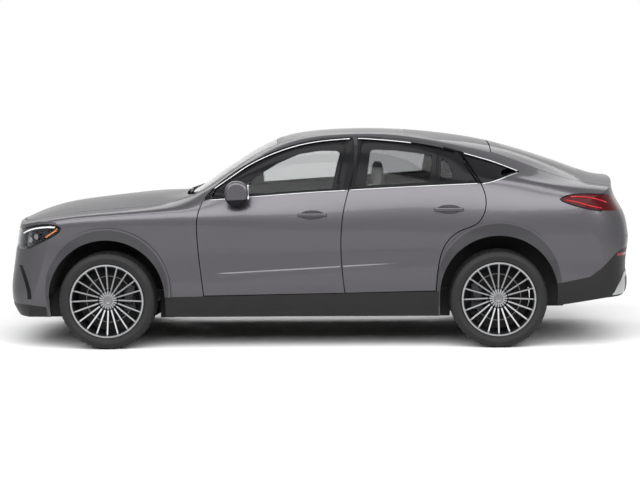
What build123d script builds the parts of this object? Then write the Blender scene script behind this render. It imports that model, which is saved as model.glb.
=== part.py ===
"""Coupe-style sport utility vehicle as an assembly of separate panels, glass,
running gear and cabin pieces.  Millimetres, +X to the nose, +Y to the left,
+Z up, origin on the ground at the middle of the length."""
import math
import os

import numpy as np
from build123d import *

os.makedirs("parts", exist_ok=True)

# Driving dimensions
WHEELBASE = 2888.0
BODY_WIDTH = 1890.0
BODY_HEIGHT = 1602.0
TYRE_DIAMETER = 722.0
TYRE_WIDTH = 250.0
RIM_DIAMETER = 545.0
TRACK = 1622.0
DOOR_GAP = 7.0
DOOR_THICK = 125.0
FRAME_THICK = 48.0
SEAL_SPACE = 14.0
PANEL_THICK = 45.0
GLASS_THICK = 6.0
ARCH_CLEARANCE = 71.0
FLARE_PROUD = 14.0
SPOKE_COUNT = 20
BOLT_CIRCLE = 112.0
BOLT_COUNT = 5
DISC_DIAMETER = 350.0
RUN_CLEARANCE = 0.3
PIN_RADIUS = 5.0
DOOR_PIN_RADIUS = 3.0
BALL_PIN_RADIUS = 12.0
HUB_BORE = 34.0

# Scales of the drawn shape, which was laid out at the sizes above
KX = WHEELBASE / 2888.0
KY = BODY_WIDTH / 1890.0
KZ = BODY_HEIGHT / 1602.0
WHEEL_Z = TYRE_DIAMETER / 2
FRONT_AXLE = 1543.0 * KX
REAR_AXLE = FRONT_AXLE - WHEELBASE
WHEEL_Y = TRACK / 2
ARCH_R = TYRE_DIAMETER / 2 + ARCH_CLEARANCE
FLOOR_Z = 235.0 * KZ
FLOOR_TOP = FLOOR_Z + 50.0

# Character lines of the body's left side, each (x, y, z)
LINES = (
    ((2420, 790, 235), (1543, 860, 235), (0, 870, 235), (-1345, 870, 235), (-2420, 790, 235)),
    ((2420, 815, 310), (1900, 880, 315), (1543, 902, 320), (0, 905, 330), (-1345, 908, 335),
     (-1900, 890, 335), (-2420, 830, 335)),
    ((2420, 840, 550), (1900, 910, 552), (1543, 928, 552), (800, 930, 556), (0, 934, 592),
     (-650, 936, 622), (-1345, 938, 632), (-1900, 912, 632), (-2420, 842, 632)),
    ((2420, 842, 690), (1900, 912, 690), (1543, 930, 690), (800, 927, 690), (0, 928, 710),
     (-650, 930, 730), (-1345, 940, 740), (-1900, 918, 740), (-2420, 845, 740)),
    ((2420, 846, 790), (1900, 915, 850), (1543, 936, 860), (800, 935, 860), (0, 937, 870),
     (-650, 938, 880), (-1345, 946, 900), (-1900, 925, 900), (-2420, 848, 890)),
    ((2420, 825, 835), (2247, 855, 890), (2007, 890, 945), (1721, 916, 982), (1436, 925, 1001),
     (1151, 926, 1014), (800, 925, 1024), (-221, 924, 1040), (-743, 922, 1073), (-1246, 918, 1098),
     (-1771, 904, 1097), (-2048, 880, 1092), (-2241, 858, 1085), (-2420, 835, 1070)),
    ((2420, 740, 835), (2247, 785, 895), (2007, 820, 962), (1721, 846, 1002), (1436, 852, 1025),
     (1151, 858, 1048), (962, 864, 1070), (771, 874, 1104), (535, 880, 1126), (54, 885, 1160),
     (-559, 885, 1188), (-1240, 870, 1216), (-1509, 858, 1207), (-1771, 846, 1172),
     (-2048, 826, 1140), (-2241, 806, 1122), (-2420, 785, 1100)),
    ((2420, 655, 838), (2247, 690, 900), (2007, 720, 972), (1721, 742, 1017), (1436, 752, 1042),
     (1151, 765, 1066), (962, 800, 1096), (771, 835, 1148), (535, 826, 1225), (343, 812, 1280),
     (54, 802, 1345), (-227, 800, 1362), (-559, 798, 1358), (-941, 792, 1340), (-1240, 790, 1302),
     (-1509, 788, 1250), (-1771, 782, 1202), (-2048, 764, 1168), (-2241, 745, 1148),
     (-2420, 725, 1125)),
    ((2420, 500, 846), (2247, 530, 918), (2007, 560, 994), (1721, 582, 1038), (1436, 600, 1064),
     (1151, 630, 1089), (962, 705, 1116), (771, 775, 1192), (535, 752, 1325), (343, 722, 1418),
     (153, 704, 1484), (-38, 692, 1519), (-227, 687, 1532), (-374, 685, 1535), (-563, 683, 1524),
     (-752, 682, 1500), (-941, 682, 1464), (-1131, 684, 1418), (-1319, 686, 1362),
     (-1509, 688, 1303), (-1771, 676, 1236), (-2048, 650, 1192), (-2241, 630, 1170),
     (-2420, 610, 1145)),
    ((2420, 270, 860), (2247, 280, 936), (2007, 300, 1016), (1721, 320, 1062), (1436, 335, 1093),
     (1151, 360, 1114), (962, 420, 1130), (771, 440, 1240), (535, 450, 1393), (343, 490, 1487),
     (153, 520, 1543), (-227, 525, 1575), (-563, 522, 1570), (-941, 515, 1530), (-1319, 500, 1455),
     (-1509, 495, 1400), (-1771, 470, 1310), (-2048, 430, 1228), (-2241, 410, 1203),
     (-2420, 390, 1190)),
    ((2420, 0, 865), (2247, 0, 945), (2007, 0, 1030), (1721, 0, 1076), (1436, 0, 1106),
     (1151, 0, 1125), (1040, 0, 1130), (962, 0, 1140), (880, 0, 1182), (771, 0, 1258),
     (580, 0, 1385), (450, 0, 1462), (343, 0, 1514), (240, 0, 1550), (107, 0, 1576),
     (-128, 0, 1597), (-410, 0, 1602), (-644, 0, 1593), (-925, 0, 1566), (-1206, 0, 1523),
     (-1440, 0, 1468), (-1673, 0, 1397), (-1861, 0, 1333), (-2048, 0, 1264), (-2150, 0, 1236),
     (-2241, 0, 1224), (-2420, 0, 1214)),
)
SHOULDER_LINE = 5
STATIONS = (2420, 2247, 2007, 1721, 1436, 1151, 1050, 975, 890, 771, 640, 500, 343, 200, 54, -227, -563,
            -941,
            -1319, -1640, -1910, -2100, -2241, -2420)
NOSE_PROFILE = ((150, 2236), (280, 2348), (405, 2374), (585, 2354), (760, 2328), (880, 2305),
                (1000, 2262), (1150, 2190), (1700, 1900))
TAIL_PROFILE = ((150, -2234), (310, -2304), (400, -2360), (576, -2356), (727, -2372), (863, -2366),
                (971, -2336), (1104, -2264), (1228, -2244), (1350, -2236), (1700, -2226))
NOSE_PLAN = ((0, 0), (250, -12), (500, -45), (680, -92), (800, -165), (875, -270), (925, -420),
             (960, -610), (1000, -900))
TAIL_PLAN = ((0, 0), (300, 8), (500, 28), (650, 58), (760, 95), (840, 160), (890, 260), (925, 450),
             (960, 700), (1000, 1000))


def cubic(points):
    """Natural cubic through (place, value) pairs, as a function of place."""
    at, value = (np.array(c, float) for c in zip(*sorted(points)))
    step = np.diff(at)
    matrix = np.eye(len(at))
    right = np.zeros(len(at))
    for i in range(1, len(at) - 1):
        matrix[i, i - 1:i + 2] = step[i - 1], 2 * (step[i - 1] + step[i]), step[i]
        right[i] = 6 * ((value[i + 1] - value[i]) / step[i] - (value[i] - value[i - 1]) / step[i - 1])
    bend = np.linalg.solve(matrix, right)

    def at_place(x):
        i = int(np.clip(np.searchsorted(at, x) - 1, 0, len(at) - 2))
        a = (at[i + 1] - x) / step[i]
        b = (x - at[i]) / step[i]
        curve = ((a ** 3 - a) * bend[i] + (b ** 3 - b) * bend[i + 1]) * step[i] ** 2 / 6
        return float(a * value[i] + b * value[i + 1] + curve)

    return at_place


CURVES = [(cubic([(p[0], p[1]) for p in line]), cubic([(p[0], p[2]) for p in line])) for line in LINES]


def half_section(x, low=0.0, high=0.0):
    """Left half of the body's section at drawn station x, from the sill up to
    the middle, moved inward by low under the shoulder and by high above it."""
    points = [(y(x) * KY, z(x) * KZ) for y, z in CURVES]
    moved = []
    for i, (y, z) in enumerate(points):
        before = points[max(i - 1, 0)]
        after = points[min(i + 1, len(points) - 1)]
        along = (after[0] - before[0], after[1] - before[1])
        if i == 0:
            along = (0.0, 1.0)
        if i == len(points) - 1:
            along = (-1.0, 0.0)
        size = math.hypot(*along)
        depth = low if i <= SHOULDER_LINE else high
        if i == SHOULDER_LINE + 1:
            depth = (low + high) / 2
        moved.append((y - along[1] / size * depth, z + along[0] / size * depth))
    return moved


def skin_y(x, z):
    """Half width of the body at drawn station x and drawn height z."""
    points = [(y(x), h(x)) for y, h in CURVES]
    return KY * float(np.interp(z, [p[1] for p in points], [p[0] for p in points]))


def shares(points):
    """Places of a section's points along it, from 0 to 1 by straight length."""
    along = np.concatenate(([0.0], np.cumsum([math.dist(p, q) for p, q in zip(points, points[1:])])))
    return along / along[-1]


# Every section runs at one pace, so that the skin stays a light surface
HALF_PACE = np.mean([shares(half_section(x)) for x in STATIONS], axis=0)
FULL_PACE = [float(u) / 2 for u in HALF_PACE] + [1 - float(u) / 2 for u in HALF_PACE[-2::-1]]
HALF_PACE = [float(u) for u in HALF_PACE]


def skin(low=0.0, high=0.0, front=2420, rear=-2420, left=False):
    """Solid under the body's skin, moved inward; left keeps that half only."""
    with BuildPart() as solid:
        for x in STATIONS:
            if x < rear or x > front:
                continue
            half = half_section(x, low, high)
            with BuildSketch(Plane.YZ.offset(x * KX)):
                with BuildLine():
                    if left:
                        over = Edge.make_spline([Vector(*p) for p in half], parameters=HALF_PACE,
                                                tangents=[Vector(0, 1), Vector(-1, 0)])
                        add(over)
                        Polyline(over @ 1, (0, half[0][1]), over @ 0)
                    else:
                        whole = half + [(-y, z) for y, z in half[-2::-1]]
                        over = Edge.make_spline([Vector(*p) for p in whole], parameters=FULL_PACE)
                        add(over)
                        Line(over @ 1, over @ 0)
                make_face()
        loft()
    return solid.part


def end_cutter(profile, plan, far, back=0.0):
    """Solid behind the nose (or ahead of the tail), moved inward by back."""
    with BuildPart() as solid:
        for z, x0 in profile:
            points = [((x0 + dx + back) * KX, y * KY) for y, dx in plan]
            with BuildSketch(Plane.XY.offset(z * KZ)):
                with BuildLine():
                    front = Spline(*points[::-1], *[(x, -y) for x, y in points[1:]])
                    wide = points[-1][1]
                    Polyline(front @ 1, (far, -wide), (far, wide), front @ 0)
                make_face()
        loft()
    return solid.part


def drawn(points):
    """Side-view points (x, z) brought to the driving sizes."""
    return [(x * KX, z * KZ) for x, z in points]


def closed(runs):
    """Runs of a side-view outline with the straights that join them."""
    whole = []
    for i, run in enumerate(runs):
        whole.append(drawn(run))
        last = drawn(run)[-1]
        first = drawn(runs[(i + 1) % len(runs)])[0]
        if math.dist(last, first) > 0.01:
            whole.append([last, first])
    return whole


def grown(runs, amount):
    """Closed runs moved outward by amount, square to themselves."""
    points = [p for run in runs for p in run[:-1]]
    area = sum(p[0] * q[1] - q[0] * p[1] for p, q in zip(points, points[1:] + points[:1]))
    turn = amount if area > 0 else -amount

    def normal(p, q):
        size = math.dist(p, q)
        return ((q[1] - p[1]) / size, (p[0] - q[0]) / size)

    def corner(p, one, two):
        share = turn / (1 + one[0] * two[0] + one[1] * two[1])
        return (p[0] + (one[0] + two[0]) * share, p[1] + (one[1] + two[1]) * share)

    wider = []
    for i, run in enumerate(runs):
        before = runs[i - 1]
        after = runs[(i + 1) % len(runs)]
        new = [corner(run[0], normal(before[-2], before[-1]), normal(run[0], run[1]))]
        for j in range(1, len(run) - 1):
            new.append(corner(run[j], normal(run[j - 1], run[j]), normal(run[j], run[j + 1])))
        new.append(corner(run[-1], normal(run[-2], run[-1]), normal(after[0], after[1])))
        wider.append(new)
    return wider


def outline_face(runs, grow=0.0):
    """Face of a side-view outline, in the sketch being drawn."""
    outline = closed(runs)
    if grow:
        outline = grown(outline, grow)
    with BuildLine() as lines:
        for run in outline:
            if len(run) > 2:
                Spline(*run)
            else:
                Line(*run)
    make_face(lines.edges())


def side_prism(y0, y1, *runs, grow=0.0):
    """Prism across the car from y0 to y1 over a side-view outline.  A run of
    more than two points is a smooth curve; runs are joined by straights."""
    with BuildPart() as solid:
        with BuildSketch(Plane.XZ.offset(-y0)):
            outline_face(runs, grow)
        extrude(amount=-(y1 - y0))
    return solid.part


def side_polygon(y0, y1, points):
    """Prism across the car from y0 to y1 over a straight-sided side view."""
    with BuildPart() as solid:
        with BuildSketch(Plane.XZ.offset(-y0)):
            with BuildLine():
                Polyline(*drawn(points), close=True)
            make_face()
        extrude(amount=-(y1 - y0))
    return solid.part


def plan_prism(z0, z1, half, grow=0.0):
    """Upright prism over a plan outline given for the left half, front to
    back, and mirrored; grow widens it all round."""
    points = [(x * KX, y * KY) for x, y in half]
    with BuildPart() as solid:
        with BuildSketch(Plane.XY.offset(z0)) as plan:
            with BuildLine():
                left = Polyline(*points)
                mirror(left, about=Plane.XZ)
            make_face()
            if grow:
                offset(amount=grow, kind=Kind.INTERSECTION)
        extrude(amount=z1 - z0)
    return solid.part


def block(x0, x1, y0, y1, z0, z1):
    """Box between two corners."""
    with BuildPart() as solid:
        with Locations(((x0 + x1) / 2, (y0 + y1) / 2, (z0 + z1) / 2)):
            Box(abs(x1 - x0), abs(y1 - y0), abs(z1 - z0))
    return solid.part


def bar_y(x, z, radius, y0, y1):
    """Round bar across the car."""
    with BuildPart() as solid:
        with BuildSketch(Plane.XZ.offset(-y0)):
            with Locations((x, z)):
                Circle(radius)
        extrude(amount=-(y1 - y0))
    return solid.part


def tube_between(start, end, radius):
    """Round bar between two points."""
    path = Vector(*end) - Vector(*start)
    with BuildPart() as solid:
        with BuildSketch(Plane(origin=start, z_dir=path)):
            Circle(radius)
        extrude(amount=path.length)
    return solid.part


def arch_shape(axle, centre_z, radius, y0, y1, foot):
    """Wheel arch: a half round with straight legs down to foot."""
    with BuildPart() as solid:
        with BuildSketch(Plane.XZ.offset(-y0)):
            with BuildLine():
                ThreePointArc((axle - radius, centre_z), (axle, centre_z + radius),
                              (axle + radius, centre_z))
                Polyline((axle + radius, centre_z), (axle + radius, foot), (axle - radius, foot),
                         (axle - radius, centre_z))
            make_face()
        extrude(amount=-(y1 - y0))
    return solid.part


def save(name, part):
    """Label a piece and write it out."""
    part.label = name
    export_step(part, f"parts/{name}.step")


def pair(left):
    """A left piece and its mirror image."""
    with BuildPart() as both:
        add(left)
        add(mirror(left, about=Plane.XZ, mode=Mode.PRIVATE))
    return both.part


# Body solids at the depths that the panels share
with BuildPart() as outer_build:
    add(skin())
    add(end_cutter(NOSE_PROFILE, NOSE_PLAN, -2600 * KX), mode=Mode.INTERSECT)
    add(end_cutter(TAIL_PROFILE, TAIL_PLAN, 2600 * KX), mode=Mode.INTERSECT)
    # The tail's underside rises behind the wheels
    add(side_polygon(-1100, 1100, [(-1700, 200), (-1700, 300), (-1781, 308), (-2137, 362), (-2500, 372),
                                   (-2500, 200)]),
        mode=Mode.SUBTRACT)
OUTER = outer_build.part


def part_of(solid, x0, x1, y0=0.0, y1=1300.0):
    """Stretch of a body solid between two places along the car."""
    with BuildPart() as piece:
        add(block(x0 * KX, x1 * KX, y0, y1, -100, 2200))
        add(solid, mode=Mode.INTERSECT)
    return piece.part


FRONT_LEFT = part_of(OUTER, 690, 2600)
MID_LEFT = part_of(OUTER, -1330, 900, 655 * KY)
SIDE_LEFT = part_of(OUTER, -2600, 890, 440)
RING_LOW = DOOR_THICK + SEAL_SPACE
RING_HIGH = FRAME_THICK + SEAL_SPACE
SKIN_GLASS = skin(8, 8, 1151, -2241)
SKIN_PANEL = skin(PANEL_THICK, PANEL_THICK)
SKIN_DOOR = skin(DOOR_THICK, FRAME_THICK, 1151, -1910, left=True)
SKIN_RING = skin(RING_LOW, RING_HIGH, 1151, -1910, left=True)
SKIN_CABIN = skin(RING_LOW + 56, RING_HIGH + 46, 1151, -1910, left=True)
NOSE_IN = end_cutter(NOSE_PROFILE, NOSE_PLAN, -2600 * KX, -70)
TAIL_IN = end_cutter(TAIL_PROFILE, TAIL_PLAN, 2600 * KX, 70)

with BuildPart() as core_build:
    add(SKIN_PANEL)
    add(NOSE_IN, mode=Mode.INTERSECT)
    add(TAIL_IN, mode=Mode.INTERSECT)
CORE = core_build.part
TAIL_CORE = part_of(CORE, -2600, -1700, -1300)
NOSE_CORE = part_of(CORE, 1000, 2600, -1300)

# Side-view outlines, left side
FRONT_EDGE = [(822, 400), (847, 614), (865, 831), (860, 981), (826, 1084), (758, 1172)]
FRONT_TOP = [(758, 1172), (535, 1336), (343, 1431), (153, 1496), (-38, 1532), (-306, 1548)]
B_EDGE = [(-306, 1548), (-246, 1174), (-208, 1029), (-190, 888), (-185, 747), (-195, 559), (-212, 415)]
REAR_TOP = [(-306, 1548), (-374, 1548), (-563, 1534), (-752, 1513), (-941, 1478), (-1078, 1440)]
C_EDGE = [(-1078, 1440), (-1121, 1367), (-1165, 1293), (-1208, 1219), (-1246, 1107), (-1240, 1015),
          (-1180, 922), (-1078, 878), (-966, 792),
          (-905, 640), (-882, 428)]
FRONT_LIGHT = [(775, 1113), (722, 1192), (535, 1323), (343, 1417), (153, 1482), (-38, 1518), (-228, 1531)]
FRONT_SILL = [(-228, 1531), (-165, 1170), (54, 1163), (486, 1132), (775, 1113)]
REAR_SILL = [(-1195, 1220), (-932, 1210), (-559, 1194), (-285, 1183)]
REAR_LIGHT = [(-345, 1535), (-400, 1534), (-563, 1520), (-752, 1499), (-941, 1464), (-1060, 1432)]


Y_IN = 300.0 * KY
Y_OUT = 1100.0 * KY
REAR_FRONT_EDGE = [(x - DOOR_GAP, z) for x, z in B_EDGE][::-1]
REAR_TOP_EDGE = [REAR_FRONT_EDGE[-1]] + REAR_TOP[1:]
FRONT_DOOR = (FRONT_EDGE, FRONT_TOP, B_EDGE)
REAR_DOOR = (REAR_FRONT_EDGE, REAR_TOP_EDGE, C_EDGE)
BOTH_DOORS = (FRONT_EDGE, FRONT_TOP, REAR_TOP, C_EDGE)
front_door_zone = side_prism(Y_IN, Y_OUT, *FRONT_DOOR)
rear_door_zone = side_prism(Y_IN, Y_OUT, *REAR_DOOR)
DOOR_OPENING = side_prism(655 * KY - DOOR_GAP, Y_OUT, *BOTH_DOORS, grow=DOOR_GAP)

FRONT_HINGE_X = (865 - 45) * KX
FRONT_HINGE_Y = skin_y(820, 860) - 9
REAR_HINGE_X = (-185 - 45) * KX - DOOR_GAP
REAR_HINGE_Y = skin_y(-237, 870) - 9


def swing_trim(hinge_x, hinge_y, runs, rear_x):
    """What lies outside the door's own swing at its rear edge, so that the
    inner corner follows the outer edge round the hinge."""
    with BuildPart() as swing:
        with BuildSketch(Plane.XZ.offset(-hinge_y)):
            outline_face(runs)
            with Locations((hinge_x + 1000, 900)):
                Rectangle(2000, 3000, mode=Mode.SUBTRACT)
        revolve(axis=Axis((hinge_x, hinge_y, 0), (0, 0, 1)))
    with BuildPart() as trim:
        add(block(rear_x - 100, hinge_x - 250, 400 * KY, 1000 * KY, 100, 1800))
        add(swing.part, mode=Mode.SUBTRACT)
    return trim.part


def side_glass(zone, depth=16.0):
    """Pane inside the skin over a side-view zone."""
    with BuildPart() as pane:
        add(zone)
        add(skin(depth, depth, 1151, -1910, left=True), mode=Mode.INTERSECT)
        add(skin(depth + GLASS_THICK, depth + GLASS_THICK, 1151, -1640, left=True), mode=Mode.SUBTRACT)
    return pane.part


FRONT_WINDOW = (FRONT_LIGHT, FRONT_SILL[:2], FRONT_SILL[1:])
REAR_WINDOW = (REAR_LIGHT, [(-1060, 1432), (-1195, 1220)], REAR_SILL, [(-285, 1183), (-345, 1535)])
QUARTER_WINDOW = ([(-1102, 1414), (-1225, 1218)], [(-1225, 1218), (-1300, 1228), (-1420, 1270),
                                                   (-1490, 1285)],
                  [(-1490, 1285), (-1319, 1353), (-1200, 1388), (-1102, 1414)])
front_window = side_prism(Y_IN, Y_OUT, *FRONT_WINDOW)
rear_window = side_prism(Y_IN, Y_OUT, *REAR_WINDOW)
quarter_window = side_prism(Y_IN, Y_OUT, *QUARTER_WINDOW)
PANE_LAP = 10.0
EDGE_COVER = 3.0


def door_pane(window, runs):
    """Pane of a door window, lapping its frame but not the door's edge."""
    with BuildPart() as pane:
        add(side_glass(side_prism(Y_IN, Y_OUT, *window, grow=PANE_LAP)))
        add(side_prism(Y_IN, Y_OUT, *runs, grow=-EDGE_COVER), mode=Mode.INTERSECT)
        add(MID_LEFT, mode=Mode.INTERSECT)
    return pane.part


front_pane = door_pane(FRONT_WINDOW, FRONT_DOOR)
rear_pane = door_pane(REAR_WINDOW, REAR_DOOR)
quarter_pane = side_glass(side_prism(Y_IN, Y_OUT, *QUARTER_WINDOW, grow=PANE_LAP), 8.0)




HINGE_HEIGHTS = (838.0 * KZ, 908.0 * KZ)
STRAP_TALL = 20.0
STRAP_HALF = DOOR_PIN_RADIUS + RUN_CLEARANCE + 2.2
POCKET_GAP = 0.8
HANDLE_LONG = 212.0 * KX
HANDLE_CUP = (88.0 * KX, 34.0)
HANDLE_DEEP = 14.0


def hinge_pocket(hinge_x, hinge_y, opening):
    """Room in a door's front edge for its two fixed hinge straps, which lie
    inboard of the pin when shut and turn forward as the door opens."""
    room = STRAP_HALF + POCKET_GAP
    lean = math.radians(opening - 90 + 3)
    rise = (room * math.cos(lean + math.pi / 2), room * math.sin(lean + math.pi / 2))
    far = 190.0
    corners = ((-room, 0), (-room, -far), (far, -far), (far, rise[1] + (far - rise[0]) * math.tan(lean)),
               rise)
    with BuildPart() as pocket:
        for z in HINGE_HEIGHTS:
            with BuildSketch(Plane.XY.offset(z - STRAP_TALL / 2 - 5)):
                with Locations((hinge_x, hinge_y)):
                    Circle(room)
                with BuildLine():
                    Polyline(*[(hinge_x + x, hinge_y + y) for x, y in corners], close=True)
                make_face()
            extrude(amount=STRAP_TALL + 10)
    return pocket.part


def hinge_pin(hinge_x, hinge_y):
    """A door's own pins, across its hinge pockets."""
    with BuildPart() as pins:
        for z in HINGE_HEIGHTS:
            with Locations((hinge_x, hinge_y, z)):
                Cylinder(DOOR_PIN_RADIUS, STRAP_TALL + 14)
    return pins.part


def hinge_straps(hinge_x, hinge_y, post_x, post_y):
    """The fixed straps of a door, from its pins inboard to the pillar."""
    with BuildPart() as straps:
        for z in HINGE_HEIGHTS:
            with Locations((hinge_x, hinge_y, z)):
                Cylinder(STRAP_HALF, STRAP_TALL)
            add(block(hinge_x - STRAP_HALF, hinge_x + STRAP_HALF, post_y, hinge_y, z - STRAP_TALL / 2,
                      z + STRAP_TALL / 2))
            add(block(hinge_x - STRAP_HALF, post_x, post_y - 40, post_y, z - STRAP_TALL / 2,
                      z + STRAP_TALL / 2))
            with Locations((hinge_x, hinge_y, z)):
                Cylinder(DOOR_PIN_RADIUS + RUN_CLEARANCE, STRAP_TALL + 2, mode=Mode.SUBTRACT)
    return straps.part


def door(runs, zone, window, pane, hinge_x, hinge_y, rear_x, handle, opening):
    """Whole door: full thickness below the belt, a frame above it, its
    window cut, its pane's slot, its hinge pockets with their pins, and a
    pull handle over a finger cup in the skin."""
    x, z, y = handle
    with BuildPart() as grip:
        with Locations((x, y + 8, z)):
            Box(HANDLE_LONG, 22, 26)
        fillet(grip.faces().sort_by(Axis.Y)[-1].edges(), 7)
    with BuildPart() as build:
        add(zone)
        add(MID_LEFT, mode=Mode.INTERSECT)
        add(SKIN_DOOR, mode=Mode.SUBTRACT)
        add(swing_trim(hinge_x, hinge_y, runs, rear_x), mode=Mode.SUBTRACT)
        add([window, pane, hinge_pocket(hinge_x, hinge_y, opening)], mode=Mode.SUBTRACT)
        with BuildSketch(Plane.XZ.offset(-y + HANDLE_DEEP)):
            with Locations((x, z)):
                Ellipse(*HANDLE_CUP)
        extrude(amount=-60, mode=Mode.SUBTRACT)
        add([grip.part, hinge_pin(hinge_x, hinge_y)])
    return build.part


FRONT_OPENING = 66.0
REAR_OPENING = 70.0
front_door_left = door(FRONT_DOOR, front_door_zone, front_window, front_pane, FRONT_HINGE_X, FRONT_HINGE_Y,
                       -306 * KX, (20 * KX, 990 * KZ, skin_y(20, 990)), FRONT_OPENING)
rear_door_left = door(REAR_DOOR, rear_door_zone, rear_window, rear_pane, REAR_HINGE_X, REAR_HINGE_Y,
                      -1250 * KX, (-980 * KX, 1024 * KZ, skin_y(-980, 1024)), REAR_OPENING)
for name, left in (("door_front", front_door_left), ("door_rear", rear_door_left),
                   ("glass_front", front_pane),
                   ("glass_rear", rear_pane)):
    save(f"{name}_left", left)
    save(f"{name}_right", mirror(left, about=Plane.XZ))

# Plan outlines of the upper panels, left half, front to back
HOOD_PLAN = ((2268, 0), (2250, 300), (2190, 540), (2100, 670), (1990, 722), (1883, 742), (1600, 760),
             (1311, 766),
             (1116, 758), (1000, 738), (905, 700), (955, 600), (990, 400), (1003, 200), (1006, 0))
SCREEN_PLAN = ((962, 0), (958, 200), (945, 400), (912, 590), (868, 684), (605, 642), (327, 588), (290, 570),
               (300, 400), (310, 0))
ROOF_PLAN = ((308, 0), (298, 400), (284, 585), (-300, 590), (-900, 588), (-1302, 575), (-1302, 0))
ROOF_GLASS_PLAN = ((262, 0), (252, 490), (-300, 500), (-664, 498), (-664, 0))
LID_PLAN = ((-1312, 0), (-1312, 575), (-1500, 590), (-1900, 622), (-2130, 652), (-2250, 660), (-2450, 660),
            (-2450, 0))
LID_GLASS_PLAN = ((-1400, 0), (-1402, 520), (-1500, 540), (-1770, 560), (-1930, 560), (-1985, 420),
                  (-2000, 0))
LID_FOOT = 800.0 * KZ
TOP_Z = 1750.0 * KZ

hood_zone = plan_prism(700 * KZ, TOP_Z, HOOD_PLAN)
hood_opening = plan_prism(600 * KZ, TOP_Z, HOOD_PLAN, grow=DOOR_GAP)
screen_zone = plan_prism(900 * KZ, TOP_Z, SCREEN_PLAN)
screen_inner = plan_prism(900 * KZ, TOP_Z, SCREEN_PLAN, grow=-28)
roof_zone = plan_prism(1300 * KZ, TOP_Z, ROOF_PLAN)
roof_glass_zone = plan_prism(1300 * KZ, TOP_Z, ROOF_GLASS_PLAN)
roof_glass_inner = plan_prism(1300 * KZ, TOP_Z, ROOF_GLASS_PLAN, grow=-25)
lid_zone = plan_prism(LID_FOOT, TOP_Z, LID_PLAN)
lid_opening = plan_prism(LID_FOOT - DOOR_GAP, TOP_Z, LID_PLAN, grow=DOOR_GAP)
lid_glass_zone = plan_prism(900 * KZ, TOP_Z, LID_GLASS_PLAN)
lid_glass_inner = plan_prism(900 * KZ, TOP_Z, LID_GLASS_PLAN, grow=-25)

def pane_of(zone):
    """Pane flush with the skin over a zone."""
    with BuildPart() as pane:
        add(zone)
        add(OUTER, mode=Mode.INTERSECT)
        add(SKIN_GLASS, mode=Mode.SUBTRACT)
    return pane.part


windshield = pane_of(screen_zone)
roof_glass = pane_of(roof_glass_zone)
lid_glass = pane_of(lid_glass_zone)
save("windshield", windshield)
save("roof_glass", roof_glass)
save("tailgate_glass", lid_glass)
save("quarter_glass", pair(quarter_pane))

# Lamps
HEADLAMP = ([(2330, 800), (2330, 868)], [(2330, 868), (2198, 893), (2116, 912), (2001, 928), (1910, 925),
                                         (1869, 903)],
            [(1869, 903), (1900, 864), (2004, 812), (2144, 752), (2330, 745)])
TAILLAMP = ([(-1784, 1092), (-1849, 1118), (-1961, 1127), (-2111, 1120), (-2450, 1110)],
            [(-2450, 1110), (-2450, 1010)],
            [(-2450, 1010), (-2102, 1005), (-1971, 1025), (-1831, 1068), (-1784, 1092)])
headlamp_zone = side_prism(470 * KY, Y_OUT, *HEADLAMP)
taillamp_zone = side_prism(660 * KY + DOOR_GAP, Y_OUT, *TAILLAMP)
lid_lamp_zone = side_prism(330 * KY, 660 * KY, *TAILLAMP)
with BuildPart() as headlamp_build:
    add(headlamp_zone)
    add(FRONT_LEFT, mode=Mode.INTERSECT)
    add([NOSE_CORE, hood_opening], mode=Mode.SUBTRACT)
with BuildPart() as taillamp_build:
    add(taillamp_zone)
    add(SIDE_LEFT, mode=Mode.INTERSECT)
    add(TAIL_CORE, mode=Mode.SUBTRACT)
with BuildPart() as lid_lamp_build:
    add(lid_lamp_zone)
    add(OUTER, mode=Mode.INTERSECT)
    add(end_cutter(TAIL_PROFILE, TAIL_PLAN, 2600 * KX, 28), mode=Mode.SUBTRACT)
save("headlamps", pair(headlamp_build.part))
save("tail_lamps", pair(taillamp_build.part))
save("tailgate_lamps", pair(lid_lamp_build.part))

# Hood and tailgate with their hinges
HOOD_HINGE_X = 925.0 * KX
HOOD_HINGE_Z = 1122.0 * KZ
HOOD_HINGE_Y = 620.0 * KY
LUG_RADIUS = PIN_RADIUS + 4.0
LUG_HALF = 7.0
HOOD_SWING = 36.0
CHEEK_GAP = 2.0
CHEEK = 5.0
with BuildPart() as hood_lug:
    add(side_polygon(HOOD_HINGE_Y - LUG_HALF, HOOD_HINGE_Y + LUG_HALF,
                     [(925, 1113), (925, 1131), (960, 1118), (990, 1108), (990, 1092), (950, 1092)]))
    add(bar_y(HOOD_HINGE_X, HOOD_HINGE_Z, LUG_RADIUS, HOOD_HINGE_Y - LUG_HALF, HOOD_HINGE_Y + LUG_HALF))
    add(bar_y(HOOD_HINGE_X, HOOD_HINGE_Z, PIN_RADIUS + RUN_CLEARANCE, HOOD_HINGE_Y - 20,
              HOOD_HINGE_Y + 20), mode=Mode.SUBTRACT)
cheek_out = LUG_HALF + CHEEK_GAP + CHEEK
with BuildPart() as hood_post:
    for near in (-1, 1):
        y0 = HOOD_HINGE_Y + near * (LUG_HALF + CHEEK_GAP)
        add(block(HOOD_HINGE_X - 8, HOOD_HINGE_X + 8, y0, y0 + near * CHEEK, 1020 * KZ, HOOD_HINGE_Z + 8))
    add(bar_y(HOOD_HINGE_X, HOOD_HINGE_Z, PIN_RADIUS, HOOD_HINGE_Y - cheek_out, HOOD_HINGE_Y + cheek_out))
    add(block(HOOD_HINGE_X - 20, HOOD_HINGE_X + 20, 560 * KY, HOOD_HINGE_Y + cheek_out, 1000 * KZ,
              1040 * KZ))
LID_HINGE_X = -1336.0 * KX
LID_HINGE_Z = 1481.0 * KZ
LID_HINGE_Y = 106.0 * KY
LID_PIN = PIN_RADIUS - 1.0
LID_ARM = 6.0
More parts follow.
